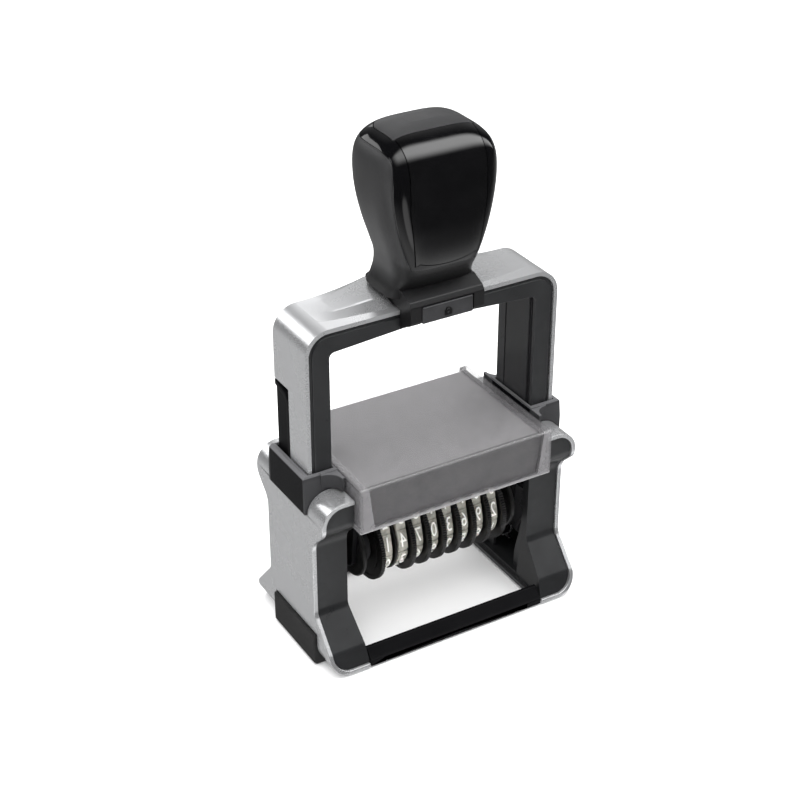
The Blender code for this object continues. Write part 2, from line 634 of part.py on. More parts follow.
def band_separator(name):
    """The thin disc between the first two bands, where no wheel rim keeps them apart."""
    x = UNIT_X - 3 * PITCH
    plate = prism(name, circle((PIVOT_Y, AXLE_Z), 9.0 * MM, 24), "X", x - 0.3 * MM, x + 0.3 * MM)
    return cut(plate, rod("bore", x - MM, x + MM, PIVOT_Y, AXLE_Z, AXLE_RADIUS + GAP, 24))


def print_bar(name):
    """The bar that backs the bands at the print face, between the two side plates."""
    top = FACE_HEIGHT - DIGIT_HEIGHT - BAND_THICKNESS - GAP
    outline = filleted([(-2.6 * MM, 1.4 * MM, 0.6 * MM), (2.6 * MM, 1.4 * MM, 0.6 * MM),
                        (2.9 * MM, top, 1.0 * MM), (-2.9 * MM, top, 1.0 * MM)], 3)
    outline = [(y + PIVOT_Y, z + PIVOT_Z) for y, z in outline]
    left = STACK_LEFT - SPACER - END_DISC - GAP
    right = STACK_RIGHT + SPACER + END_DISC + GAP
    return prism(name, outline, "X", left, right)


def side_plate(side, name):
    """A side plate of the print unit, with holes for the wheel axle and the trunnion."""
    outline = filleted([(-5.0, -14.0, 3.0), (5.0, -14.0, 3.0), (6.2, -1.0, 2.0), (4.6, 5.0, 1.5),
                        (-4.6, 5.0, 1.5), (-6.2, -1.0, 2.0)])
    outline = [(y * MM + PIVOT_Y, z * MM + PIVOT_Z) for y, z in outline]
    inner = STACK_RIGHT if side > 0 else -STACK_LEFT
    inner += SPACER + END_DISC + 2 * GAP
    x = sorted((side * inner, side * (inner + PLATE)))
    plate = prism(name, outline, "X", *x)
    return cut(plate, rod("axle_hole", x[0] - MM, x[1] + MM, PIVOT_Y, AXLE_Z, AXLE_RADIUS + GAP),
               rod("trunnion_hole", x[0] - MM, x[1] + MM, PIVOT_Y, PIVOT_Z, TRUNNION_RADIUS + GAP))


def hub_ring(name, x_from, x_to, radius, chamfer):
    """A turned ring on the wheel axle."""
    bore = AXLE_RADIUS + GAP
    profile = [(x_from, bore), (x_from, radius - chamfer), (x_from + chamfer, radius),
               (x_to - chamfer, radius), (x_to, radius - chamfer), (x_to, bore)]
    return lathe(name, profile, PIVOT_Y, AXLE_Z, 24)


def trunnion(side, name):
    """A pivot pin of the print unit: headed inside its plate, running in the upper leg."""
    plate_inner = (STACK_RIGHT if side > 0 else -STACK_LEFT) + SPACER + END_DISC + 2 * GAP
    outer_end = 33.0 * MM
    pin = rod(name, *sorted((side * (plate_inner - 0.2 * MM), side * outer_end)), PIVOT_Y, PIVOT_Z,
              TRUNNION_RADIUS)
    flange = rod("flange", *sorted((side * (plate_inner + PLATE + GAP),
                                    side * (plate_inner + PLATE + 1.2 * MM))),
                 PIVOT_Y, PIVOT_Z, 3.0 * MM)
    return fuse(pin, flange)


# ---------------------------------------------------------------- springs
def return_spring(side, name):
    """The compression spring in a leg that lifts the handle again."""
    bm = bmesh.new()
    sides, steps = 5, 9
    low, high = FLOOR_TOP + GAP + SPRING_WIRE, SPRING_TOP - SPRING_WIRE
    count = SPRING_TURNS * steps
    rings = []
    for i in range(count + 1):
        angle = 2 * math.pi * i / steps
        outward = Vector((math.cos(angle), math.sin(angle), 0))
        centre = Vector((side * SPRING_X, SPRING_Y, low + (high - low) * i / count))
        centre += outward * SPRING_RADIUS
        rings.append([bm.verts.new(centre + outward * SPRING_WIRE * math.cos(2 * math.pi * k / sides)
                                   + Vector((0, 0, SPRING_WIRE * math.sin(2 * math.pi * k / sides))))
                      for k in range(sides)])
    bm.faces.new(rings[0])
    bm.faces.new(rings[-1])
    for here, there in zip(rings, rings[1:]):
        for k in range(sides):
            bm.faces.new((here[k], here[(k + 1) % sides], there[(k + 1) % sides], there[k]))
    return from_bmesh(name, bm, True)


# ---------------------------------------------------------------- assembly
def build_lower_frame():
    for side, word in ((-1, "left"), (1, "right")):
        finish(base_leg(side, "base_leg_" + word), "black_plastic")
        finish(side_cover(side, "side_cover_" + word), "silver_paint")
        finish(side_foot(side, "side_foot_" + word), "rubber")
        finish(leg_collar(side, "leg_collar_" + word), "black_plastic")
        finish(cam_plate(side, "cam_plate_" + word), "black_plastic")
        finish(return_spring(side, "return_spring_" + word), "steel")
    finish(base_bar("base_front_bar", 1), "black_plastic")
    finish(base_bar("base_rear_bar", -1), "black_plastic")
    finish(window_cover("window_cover"), "clear_plastic")
    finish(index_card("index_card"), "card")
    finish(pad_housing("pad_housing"), "black_plastic")


def build_cartridge():
    slide = empty("cartridge_slide_axis", (0, 0, PAD_UNDERSIDE))
    finish(ink_cartridge("ink_cartridge"), "black_plastic", slide)
    finish(ink_pad("ink_pad"), "ink_felt", slide)


def build_press_body():
    press = empty("press_axis", (0, 0, ARCH_UNDERSIDE))
    finish(upper_frame("upper_frame"), "black_plastic", press)
    finish(upper_cover("upper_cover"), "silver_paint", press)
    finish(handle_body("handle_body"), "black_plastic", press)
    finish(handle_piece("handle_front_panel", panel_zone("panel", 0.0), HANDLE_SHELL),
           "gloss_black", press)
    finish(handle_piece("handle_top_cap", cap_zone("cap", 0.0), HANDLE_SHELL), "grey_plastic", press)
    for side, word in ((-1, "left"), (1, "right")):
        finish(leg_inlay(side, "leg_inlay_" + word), "black_plastic", press)
    button_axis = empty("lock_button_axis", (0, -13.9 * MM, 93.2 * MM))
    finish(lock_button("lock_button"), "grey_plastic", button_axis)


def build_print_unit():
    unit = empty("print_unit_axis", (0, PIVOT_Y, PIVOT_Z))
    for side, word in ((-1, "left"), (1, "right")):
        finish(side_plate(side, "side_plate_" + word), "black_plastic", unit)
        finish(trunnion(side, "trunnion_" + word), "steel", unit)
        start = STACK_RIGHT if side > 0 else STACK_LEFT
        spacer = sorted((start, start + side * SPACER))
        disc = sorted((start + side * (SPACER + GAP), start + side * (SPACER + GAP + END_DISC)))
        finish(hub_ring("hub_spacer_" + word, *spacer, 5.2 * MM, 0.2 * MM), "grey_plastic", unit)
        finish(hub_ring("end_disc_" + word, *disc, 8.4 * MM, 0.3 * MM), "black_plastic", unit)
    ends = [STACK_LEFT - SPACER - END_DISC - 2 * GAP - PLATE, STACK_RIGHT + SPACER + END_DISC
            + 2 * GAP + PLATE]
    axle = rod("wheel_axle", ends[0] - MM, ends[1] + MM, PIVOT_Y, AXLE_Z, AXLE_RADIUS)
    finish(axle, "steel", unit)
    finish(print_bar("print_bar"), "black_plastic", unit)
    finish(band_separator("band_separator"), "black_plastic", unit)
    for number in range(1, 9):
        finish(number_band(f"number_band_{number}", band_x(number)), "band_rubber", unit)


def build_number_wheels():
    """Eight wheels; the seven of one hand share a mesh."""
    first = number_wheel("number_wheel_1", 1)
    second = number_wheel("number_wheel_2", -1)
    wheels = [first, second] + [new_object(f"number_wheel_{n}", second.data) for n in range(3, 9)]
    look = material("number_wheel", "black_plastic")
    for number, wheel in enumerate(wheels, 1):
        wheel.location = (disc_x(number), PIVOT_Y, AXLE_Z)
    for mesh in (first.data, second.data):
        mesh.materials.clear()
        mesh.materials.append(look)


def main():
    for old in list(bpy.data.objects):
        bpy.data.objects.remove(old, do_unlink=True)
    build_lower_frame()
    build_cartridge()
    build_press_body()
    build_print_unit()
    build_number_wheels()


main()
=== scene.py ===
"""Looks of the self-inking numbering stamp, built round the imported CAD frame.

The modelling helpers take millimetres in the CAD frame (+Z up, front facing -Y) and make metres.
Every CAD node has a finer mesh that stands for it and rides on the same body.
"""
import json
from math import acos, atan2, copysign, cos, degrees, pi, radians, sin, tan

import bmesh
import bpy
from mathutils import Matrix, Vector


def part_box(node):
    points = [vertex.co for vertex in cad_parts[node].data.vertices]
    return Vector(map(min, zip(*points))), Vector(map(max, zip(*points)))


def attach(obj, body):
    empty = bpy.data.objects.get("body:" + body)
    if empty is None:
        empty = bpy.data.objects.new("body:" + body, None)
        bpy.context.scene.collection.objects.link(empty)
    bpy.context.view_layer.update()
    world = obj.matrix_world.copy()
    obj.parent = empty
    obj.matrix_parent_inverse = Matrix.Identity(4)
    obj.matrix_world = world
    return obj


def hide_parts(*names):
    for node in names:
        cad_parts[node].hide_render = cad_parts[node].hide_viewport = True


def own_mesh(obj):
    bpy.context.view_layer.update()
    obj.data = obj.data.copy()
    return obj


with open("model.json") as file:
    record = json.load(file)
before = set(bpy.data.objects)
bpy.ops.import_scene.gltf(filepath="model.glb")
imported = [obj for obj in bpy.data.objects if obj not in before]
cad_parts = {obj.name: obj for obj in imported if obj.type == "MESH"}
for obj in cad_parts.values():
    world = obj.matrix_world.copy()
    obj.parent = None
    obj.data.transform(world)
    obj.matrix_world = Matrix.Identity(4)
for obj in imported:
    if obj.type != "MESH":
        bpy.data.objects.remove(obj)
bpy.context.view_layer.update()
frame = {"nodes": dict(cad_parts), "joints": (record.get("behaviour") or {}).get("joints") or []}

MM = 0.001
GAP = 0.3  # air between neighbouring pieces
SIDES = ((-1, "left"), (1, "right"))
FIGURES = "0123456789"


def node_box(node):
    """Lowest and highest corner of a CAD node, in millimetres."""
    low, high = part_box(node)
    return low / MM, high / MM


def joint_place(name):
    """A hinge's point, in millimetres."""
    found = next(j for j in frame["joints"] if j["name"] == name)
    return Vector(found["pos_m"]) / MM


# ---- dimensions taken from the frame
COVER_LOW, COVER_HIGH = node_box("side_cover_right")
FRAME_HALF_WIDTH, SHOULDER_TOP, FRAME_BOTTOM = COVER_HIGH.x, COVER_HIGH.z, COVER_LOW.z
ARCH_LOW, ARCH_HIGH = node_box("upper_frame")
ARCH_HALF_WIDTH, ARCH_HALF_DEPTH = node_box("upper_cover")[1].x, ARCH_HIGH.y
UPPER_LEG_END, TONGUE_END = node_box("upper_cover")[0].z, ARCH_LOW.z
WINDOW_LOW, WINDOW_HIGH = node_box("window_cover")
PIVOT = joint_place("print_unit_flip")
AXLE = joint_place("wheel_1_turn")
UNIT_X = (node_box("number_band_1")[0].x + node_box("number_band_8")[1].x) / 2
PITCH = (node_box("number_band_8")[0].x - node_box("number_band_1")[0].x) / 7
FACE_HEIGHT = 7.5  # top of the digits above the pivot

# ---- dimensions of the looks
CORNER_RADIUS = 5.8
SKIN, SKIN_GAP = 1.1, 0.12  # silver cover, and the air between it and the black core
LEG_INNER = 27.5
LOBE_HALF_DEPTH, WAIST_HALF_DEPTH, BASE_HALF_DEPTH = 17.8, 12.2, 21.5
CHANNEL_HALF_DEPTH, CHANNEL_FLOOR = 9.0, 3.0
SPRING_X, SPRING_Y = 32.08, 4.6
OUT_X, OUT_Y = 50, 25  # past the outside of every lower piece
ARCH_TOP, ARCH_RADIUS, ARCH_INNER = 93.2, 6.6, 29.45
ARCH_UNDERSIDE, ARCH_PEAK = 86.9, 88.0
FOOT_FRONT, FOOT_BACK, FOOT_INNER, FOOT_TOP = -12.9, 9.2, 30.5, 9.4
DIGIT_HEIGHT, BAND_THICKNESS, DRUM_RADIUS = 0.6, 1.1, 6.9
WHEEL_RADIUS, WHEEL_DISC, WHEEL_TEETH = 10.6, 1.15, 96
AXLE_RADIUS, TRUNNION_RADIUS = 1.6, 1.8
BAND_HALF = (PITCH - WHEEL_DISC) / 2 - GAP
HANDLE_SECTIONS = [  # height, half width, front, back
    (96.3, 12.6, -9.4, 8.3), (98.4, 11.4, -9.4, 8.2), (101.2, 10.6, -11.0, 8.2),
    (104.4, 10.7, -13.0, 8.4), (108.0, 11.8, -13.8, 8.9), (113.6, 13.6, -14.1, 9.6),
    (119.6, 15.0, -14.1, 10.2), (125.0, 15.6, -14.0, 10.5), (129.6, 15.5, -13.5, 10.4),
    (132.7, 14.6, -12.2, 9.7), (134.9, 12.8, -9.9, 8.4), (136.4, 10.2, -7.2, 6.6),
    (137.2, 7.0, -4.4, 4.6), (137.5, 3.6, -2.0, 2.6)]
FRONT_POWER, BACK_POWER = 0.42, 0.55  # squareness of the handle's sections


# ---- materials
LOOKS = {}  # every material by its name
SLOTS = {"clear_smoke": "clear_plastic", "cap_plastic": "grey_plastic", "sign_plastic": "grey_plastic",
         **dict.fromkeys(("frame_plastic", "collar_plastic", "tray_plastic", "track_plastic",
                          "wheel_plastic", "handle_skin"), "black_plastic")}


class Shader:
    """Short hand for building one node material, or the world."""

    def __init__(self, name, world=None):
        self.made = LOOKS[name] = world or bpy.data.materials.new(name)
        self.made.use_nodes = True
        self.tree = self.made.node_tree
        self.main = self.tree.nodes["Background" if world else "Principled BSDF"]
        self.coords = self.add("ShaderNodeTexCoord").outputs["Generated" if world else "Object"]

    def add(self, kind, **values):
        node = self.tree.nodes.new(kind)
        for key, value in values.items():
            setattr(node, key, value)
        return node

    def feed(self, socket, value):
        """Link an output to a socket, or set a constant on it."""
        if isinstance(value, bpy.types.NodeSocket):
            self.tree.links.new(value, socket)
        else:
            socket.default_value = (*value, 1.0) if socket.type == "RGBA" else value

    def wire(self, node, **sockets):
        """Feed several sockets of a node, their names written with underscores."""
        for key, value in sockets.items():
            self.feed(node.inputs[key.replace("_", " ")], value)
        return node.outputs

    def put(self, **sockets):
        """Feed sockets of the main shader."""
        self.wire(self.main, **sockets)

    def noise(self, size_mm, detail=3.0, stretch=(1, 1, 1), rough=0.5):
        """Noise whose cells are about size_mm wide."""
        mapped = self.wire(self.add("ShaderNodeMapping"), Vector=self.coords, Scale=stretch)
        return self.wire(self.add("ShaderNodeTexNoise"), Vector=mapped["Vector"], Detail=detail,
                         Scale=1.0 / (size_mm * MM), Roughness=rough)["Fac"]

    def remap(self, value, low, high, to_low=0, to_high=1, smooth=False):
        node = self.add("ShaderNodeMapRange", clamp=True)
        if smooth:
            node.interpolation_type = "SMOOTHSTEP"
        return self.wire(node, Value=value, From_Min=low, From_Max=high, To_Min=to_low,
                         To_Max=to_high)["Result"]

    def level(self, noise, low=0, high=1):
        """Stretch the middle of a noise over a range."""
        return self.remap(noise, 0.3, 0.7, low, high)

    def math(self, operation, *values):
        node = self.add("ShaderNodeMath", operation=operation)
        for socket, value in zip(node.inputs, values):
            self.feed(socket, value)
        return node.outputs["Value"]

    def plus(self, first, second):
        return self.math("ADD", first, second)

    def minus(self, first, second):
        return self.math("SUBTRACT", first, second)

    def times(self, first, second):
        return self.math("MULTIPLY", first, second)

    def mix(self, factor, first, second):
        """Mix two colours."""
        node = self.add("ShaderNodeMix", data_type="RGBA")
        for place, value in ((0, factor), (6, first), (7, second)):
            self.feed(node.inputs[place], value)
        return node.outputs[2]

    def axis(self, letter):
        """One object coordinate, in millimetres."""
        split = self.wire(self.add("ShaderNodeSeparateXYZ"), Vector=self.coords)
        return self.math("DIVIDE", split[letter], MM)

    def bump(self, height, distance_mm):
        bumped = self.wire(self.add("ShaderNodeBump"), Height=height, Strength=1.0,
                           Distance=distance_mm * MM)
        self.put(Normal=bumped["Normal"])


def scaled(colour, factor):
    return tuple(min(1.0, c * factor) for c in colour)


def grey(value, blue=0.0):
    """A grey, slightly cooler by an extra amount of blue."""
    return (value, value, value + blue)


def plastic(name, colour, roughness, grain=0.22, relief=0.012, edge=1.5, **constants):
    """Moulded plastic: fine grain, slow drift of colour and gloss, and paler edges that are partly wear and
    partly a painted highlight.
    """
    s = Shader(name)
    drift, fine = s.noise(9.0, 2.0), s.noise(grain, 4.0)
    base = s.mix(s.level(drift), scaled(colour, 0.9), scaled(colour, 1.12))
    # Pointiness picks out the edges; their paler colour, set by the edge factor, is partly wear and partly
    # a painted highlight.
    edges = s.remap(s.add("ShaderNodeNewGeometry").outputs["Pointiness"], 0.52, 0.62, smooth=True)
    edge_wear_and_highlight = s.times(edges, s.remap(s.noise(2.5, 3.0), 0.35, 0.65, 0.3, 1))
    rough = s.plus(s.level(drift, -0.06, 0.06), roughness)
    s.put(Base_Color=s.mix(edge_wear_and_highlight, base, scaled(colour, edge)),
          Roughness=s.plus(rough, s.level(fine, -0.03, 0.03)), **constants)
    s.bump(fine, relief)


def gloss_black():
    """Polished black with hairline scratches and faint handling marks."""
    s = Shader("gloss_black")
    marks = s.noise(6.0, 3.0, rough=0.6)
    hairs = s.noise(0.5, 2.0, (0.12, 1.0, 1.6))
    s.put(Base_Color=s.mix(s.level(marks), grey(0.002, 0.0003), grey(0.003, 0.0004)),
          Roughness=s.plus(s.remap(marks, 0.4, 0.75, 0.07, 0.14), s.remap(hairs, 0.55, 0.7, 0, 0.05)))
    s.bump(hairs, 0.002)


def handle_skin():
    """Matte black, polished in front and over the crown; a painted highlight makes the sides and back paler
    at the waist, and painted shade darkens the foot and the fold under the shield.
    """
    s = Shader("handle_skin")
    depth, height = s.axis("Y"), s.axis("Z")
    crown, shield, neck, turn = 133.7, -11.7, 104.6, 9.0
    zone = s.math("SMOOTH_MAX", s.minus(height, crown), s.minus(shield, depth), turn)
    zone = s.math("MINIMUM", zone, s.remap(height, neck, neck + 0.3, -3, 3))
    gloss = s.remap(zone, -0.06, 0.06)
    not_gloss = s.minus(1.0, gloss)
    seam = s.remap(s.math("ABSOLUTE", zone), 0.0, 0.22, smooth=True)
    drift, fine = s.noise(8.0, 2.0), s.noise(0.2, 4.0)
    matte = s.mix(s.level(drift), grey(0.018, 0.001), grey(0.023, 0.001))
    # Painted highlight: the sides and back are made paler at the waist.
    waist = s.times(s.remap(height, 124.0, 107.0, smooth=True), s.remap(height, 99.0, 103.0, smooth=True))
    waist = s.times(waist, s.remap(depth, -8.0, -3.0, smooth=True))
    matte = s.mix(waist, matte, grey(0.056, 0.0015))
    # Painted shade: dark under the shield's lower lip and at the foot of the handle.
    shade_under_shield = s.times(s.remap(height, 106.5, 104.5, smooth=True), s.remap(depth, -4.0, -9.0, 0, 0.85, True))
    dark = s.math("MAXIMUM", shade_under_shield, s.remap(height, 100.0, 98.0, 0, 0.6, True))
    matte = s.mix(dark, matte, grey(0.003, 0.0004))
    s.put(Base_Color=s.mix(gloss, matte, grey(0.002, 0.0004)),
          Roughness=s.plus(s.times(s.level(fine, 0.40, 0.50), not_gloss),
                           s.times(s.remap(drift, 0.4, 0.7, 0.07, 0.12), gloss)), IOR=1.4)
    s.bump(s.plus(s.times(seam, 5.0), s.times(fine, not_gloss)), 0.014)


def collar_plastic():
    """Black collar: a polished skirt and satin wings in front and behind; the wings' paler colour is a
    painted sheen, and the pale rim along the top is a painted highlight.
    """
    s = Shader("collar_plastic")
    drift, fine = s.noise(9.0, 2.0), s.noise(0.22, 4.0)
    wing = s.remap(s.math("ABSOLUTE", s.axis("Y")), 8.7, 9.2)
    # Painted highlight: the rim along the top gets a much paler colour.
    rim = s.remap(s.axis("Z"), 54.25, 54.45)
    polished = s.mix(s.level(drift), grey(0.0035, 0.0005), grey(0.005, 0.0005))
    # Painted sheen: the wings' front and back faces get a paler colour than the skirt.
    satin = s.mix(s.level(drift), grey(0.038, 0.002), grey(0.046, 0.002))
    s.put(Base_Color=s.mix(rim, s.mix(wing, polished, satin), grey(0.115, 0.005)),
          Roughness=s.plus(s.remap(wing, 0, 1, 0.22, 0.42), s.level(fine, -0.03, 0.03)), IOR=1.1)
    s.bump(fine, 0.012)


def silver_paint():
    """Metallic lacquer: tiny flakes under a satin clear coat."""
    s = Shader("silver_paint")
    flakes = s.wire(s.add("ShaderNodeTexVoronoi"), Vector=s.coords, Scale=1.0 / (0.11 * MM))
    flake = s.wire(s.add("ShaderNodeSeparateColor"), Color=flakes["Color"])
    drift = s.noise(14.0, 2.0)
    base = s.mix(flake[0], (0.572, 0.577, 0.587), (0.588, 0.593, 0.603))
    s.put(Base_Color=s.mix(s.level(drift, 0, 0.25), base, (0.55, 0.555, 0.57)),
          Roughness=s.plus(s.level(drift, 0.25, 0.31), s.remap(flake[1], 0, 1, -0.01, 0.01)),
          Metallic=0.78, Coat_Weight=0.2, Coat_Roughness=0.12)
    s.bump(s.noise(0.4, 2.0), 0.0001)


def clear_smoke():
    """Clear smoke-tinted cover; its moulded borders are frosted and the window over the card is clear.
    Painted shade darkens its front face, and painted highlights run along its front top bend and lower
    edge.
    """
    s = Shader("clear_smoke")
    across, depth, height = s.math("ABSOLUTE", s.axis("X")), s.axis("Y"), s.axis("Z")
    haze = s.noise(3.0, 2.0)
    window_half = s.math("MULTIPLY_ADD", s.minus(height, 41.0), 0.125, 24.0)
    outside = s.math("MAXIMUM", s.minus(across, window_half), s.minus(42.1, height))
    border = s.remap(outside, -0.05, 0.05)
    # Painted shade: the front face is made more opaque with the dark tint, darkening the card seen through
    # it.
    face = s.remap(s.minus(-18.9, depth), -0.05, 0.05)
    clear = s.plus(s.level(haze, 0.08, 0.12), s.times(face, 0.20))
    frosted = s.minus(s.level(haze, 0.62, 0.70), s.times(s.remap(height, 53.2, 53.6), 0.35))
    alpha = s.plus(s.times(clear, s.minus(1.0, border)), s.times(frosted, border))
    # Painted highlight: along the front top bend and the lower edge the cover turns more opaque and pale.
    bend = s.math("MINIMUM", s.remap(height, 53.3, 53.6), s.remap(depth, -19.3, -19.6))
    lip = s.math("MAXIMUM", s.times(bend, 0.5), s.remap(height, 41.6, 41.4, 0, 0.7))
    alpha = s.math("MAXIMUM", s.times(alpha, s.remap(across, 27.3, 27.5, 1, 0.6)), lip)
    tint = s.mix(haze, (0.20, 0.195, 0.203), (0.22, 0.215, 0.223))
    tint = s.mix(border, (0.02, 0.018, 0.02), tint)
    s.put(Alpha=alpha, Base_Color=s.mix(lip, tint, (0.42, 0.415, 0.42)),
          Roughness=s.level(haze, 0.08, 0.14))


def card():
    """Grey paper card with a faint fibre, darker along its front bend."""
    s = Shader("card")
    fibre = s.noise(0.35, 5.0, (1.0, 2.6, 1.6), 0.7)
    paper = s.mix(s.level(fibre), (0.255, 0.250, 0.257), (0.275, 0.270, 0.277))
    low, high = node_box("index_card")
    bend = s.times(s.remap(s.axis("Y"), low.y + 1.3, low.y + 1.0),
                   s.remap(s.axis("Z"), high.z - 0.5, high.z - 0.3, 0, 0.75))
    s.put(Base_Color=s.mix(bend, paper, grey(0.05)), Roughness=s.level(fibre, 0.75, 0.9))
    s.bump(fibre, 0.004)


def band_rubber(name, cream, stained, low, high):
    """Cream rubber with traces of ink; low and high set how far the stain spreads."""
    s = Shader(name)
    stain = s.remap(s.noise(1.8, 3.0, rough=0.55), low, high, 0, 0.55, True)
    fine = s.noise(0.15, 3.0)
    pale = s.mix(s.level(s.noise(5.0, 2.0)), scaled(cream, 0.92), scaled(cream, 1.04))
    s.put(Base_Color=s.mix(stain, pale, stained), Roughness=s.level(fine, 0.5, 0.68),
          Subsurface_Weight=0.05, Subsurface_Scale=0.0005)
    s.bump(fine, 0.01)


def steel():
    """Drawn steel, its fine lines along X."""
    s = Shader("steel")
    lines = s.noise(0.25, 3.0, (0.08, 1.0, 1.0))
    s.put(Base_Color=s.mix(s.level(lines), (0.46, 0.465, 0.47), (0.62, 0.625, 0.63)),
          Roughness=s.level(lines, 0.2, 0.34), Metallic=1.0)
    s.bump(lines, 0.004)


def ink_felt():
    """Felt soaked with dark ink."""
    s = Shader("ink_felt")
    fibre = s.noise(0.3, 6.0, rough=0.75)
    s.put(Base_Color=s.mix(s.level(fibre), (0.010, 0.014, 0.06), (0.03, 0.04, 0.12)),
          Roughness=s.level(fibre, 0.8, 1.0), Sheen_Weight=0.3, Sheen_Roughness=0.5)
    s.bump(fibre, 0.08)


plastic("black_plastic", grey(0.005, 0.0005), 0.34, IOR=1.1)
plastic("frame_plastic", (0.014, 0.0145, 0.0155), 0.34, relief=0.006, Specular_IOR_Level=0.4)
plastic("tray_plastic", grey(0.008, 0.0005), 0.40, Specular_IOR_Level=0.4)
plastic("track_plastic", grey(0.030, 0.002), 0.3, edge=2.5)
# The wheels' strong edge factor paints pale highlights along the teeth.
plastic("wheel_plastic", grey(0.004), 0.36, edge=8.0, Specular_IOR_Level=0.3)
plastic("grey_plastic", grey(0.020, 0.0015), 0.40, Specular_IOR_Level=0.35)
plastic("sign_plastic", grey(0.003), 0.3, Specular_IOR_Level=0.3)
plastic("cap_plastic", grey(0.018, 0.001), 0.48, relief=0.006)
plastic("rubber", grey(0.008), 0.72, grain=0.35, relief=0.02)
collar_plastic()
gloss_black()
handle_skin()
silver_paint()
clear_smoke()
card()
band_rubber("band_rubber", (0.40, 0.39, 0.345), (0.12, 0.12, 0.10), 0.42, 0.66)
band_rubber("figure_rubber", (0.90, 0.89, 0.85), (0.45, 0.44, 0.39), 0.54, 0.78)
steel()
ink_felt()


# ---- modelling helpers, in millimetres
def linked(name, data):
    """A new object in the scene."""
    made = bpy.data.objects.new(name, data)
    bpy.context.scene.collection.objects.link(made)
    return made


def from_bmesh(name, bm):
    """Turn a bmesh drawn in millimetres into an object in metres, its normals facing out."""
    bmesh.ops.recalc_face_normals(bm, faces=bm.faces)
    bm.transform(Matrix.Scale(MM, 4))
    mesh = bpy.data.meshes.new(name)
    bm.to_mesh(mesh)
    bm.free()
    return linked(name, mesh)


def loft(bm, rows, closed=False):
    """Skin rings of points; the row of rings closes on itself or is capped at both ends."""
    rows = [[bm.verts.new(point) for point in row] for row in rows]
    if closed:
        rows.append(rows[0])
    else:
        bm.faces.new(rows[0])
        bm.faces.new(rows[-1])
    for here, there in zip(rows, rows[1:]):
        for k in range(len(here)):
            j = (k + 1) % len(here)
            bm.faces.new((here[k], here[j], there[j], there[k]))
    return bm


def along(axis, u, v, w):
    """The point at (u, v) in the plane across an axis and w along it."""
    return {"X": (w, u, v), "Y": (u, w, v), "Z": (u, v, w)}[axis]


def prism(name, outline, axis, low, high):
    """An outline extruded along an axis between two stations."""
    bm = bmesh.new()
    rings = [[bm.verts.new(along(axis, u, v, w)) for u, v in outline] for w in (low, high)]
    bm.faces.new(rings[0])
    bm.faces.new(reversed(rings[1]))
    for i in range(len(outline)):
        j = (i + 1) % len(outline)
        bm.faces.new((rings[0][i], rings[1][i], rings[1][j], rings[0][j]))
    return from_bmesh(name, bm)


def block(name, x, y, z):
    """A plain box from its two stations along each axis."""
    outline = [(x[0], y[0]), (x[1], y[0]), (x[1], y[1]), (x[0], y[1])]
    return prism(name, outline, "Z", *z)


def node_block(name, node):
    """A plain box with the bounds of a CAD node."""
    return block(name, *zip(*node_box(node)))


def arc(centre, radius, start, end, steps=20):
    """Points on a circle, angles in degrees measured from +u towards +v."""
    angles = [radians(start + (end - start) * i / steps) for i in range(steps + 1)]
    return [(centre[0] + radius * cos(a), centre[1] + radius * sin(a)) for a in angles]


def circle(centre, radius, sides):
    return arc(centre, radius, 0, 360, sides)[:-1]


def filleted(corners, steps=8):
    """Round the corners of an outline; each corner is (u, v) or (u, v, radius)."""
    points = []
    for i, corner in enumerate(corners):
        here = Vector(corner[:2])
        radius = corner[2] if len(corner) > 2 else 0.0
        if radius == 0.0:
            points.append(tuple(here))
            continue
        before = (Vector(corners[i - 1][:2]) - here).normalized()
        after = (Vector(corners[(i + 1) % len(corners)][:2]) - here).normalized()
        half = before.angle(after) / 2
        centre = here + (before + after).normalized() * radius / sin(half)
        start = here + before * radius / tan(half) - centre
        turn = start.angle_signed(here + after * radius / tan(half) - centre)
        for step in range(steps + 1):
            spoke = start.copy()
            spoke.rotate(Matrix.Rotation(-turn * step / steps, 2))
            points.append(tuple(centre + spoke))
    return points


def lathe(name, profile, sides=72):
    """A turned ring about the wheel axle, from a closed profile of (x, radius) points."""
    angles = [2 * pi * i / sides for i in range(sides)]
    rows = [[(x, AXLE.y + r * cos(a), AXLE.z + r * sin(a)) for x, r in profile] for a in angles]
    return from_bmesh(name, loft(bmesh.new(), rows, closed=True))


def rod(name, x, place, radius, sides=40):
    """A round bar along X through a place."""
    return prism(name, circle((place.y, place.z), radius, sides), "X", *x)


def combine(target, other, operation):
    """Apply a Boolean at once and drop the other object."""
    modifier = target.modifiers.new(operation, "BOOLEAN")
    modifier.operation = operation
    modifier.solver = "EXACT"
    modifier.object = other
    graph = bpy.context.evaluated_depsgraph_get()
    mesh = bpy.data.meshes.new_from_object(target.evaluated_get(graph))
    target.modifiers.clear()
    target.data = mesh
    bpy.data.objects.remove(other, do_unlink=True)
    return target


def cut(target, *others):
    for other in others:
        combine(target, other, "DIFFERENCE")
    return target


def fuse(target, *others):
    for other in others:
        combine(target, other, "UNION")
    return target


def keep_inside(target, other):
    return combine(target, other, "INTERSECT")


def soften(piece, width, segments=3, angle=28, crisp=28):
    """Round the sharp edges and shade the piece by its large faces, with creases kept crisp."""
    piece.data.shade_smooth()
    piece.data.set_sharp_from_angle(angle=radians(crisp))
    bevel = piece.modifiers.new("edge", "BEVEL")
    bevel.width = width * MM
    bevel.segments = segments
    bevel.limit_method = "ANGLE"
    bevel.angle_limit = radians(angle)
    weighted = piece.modifiers.new("shading", "WEIGHTED_NORMAL")
    weighted.keep_sharp = True
    return piece


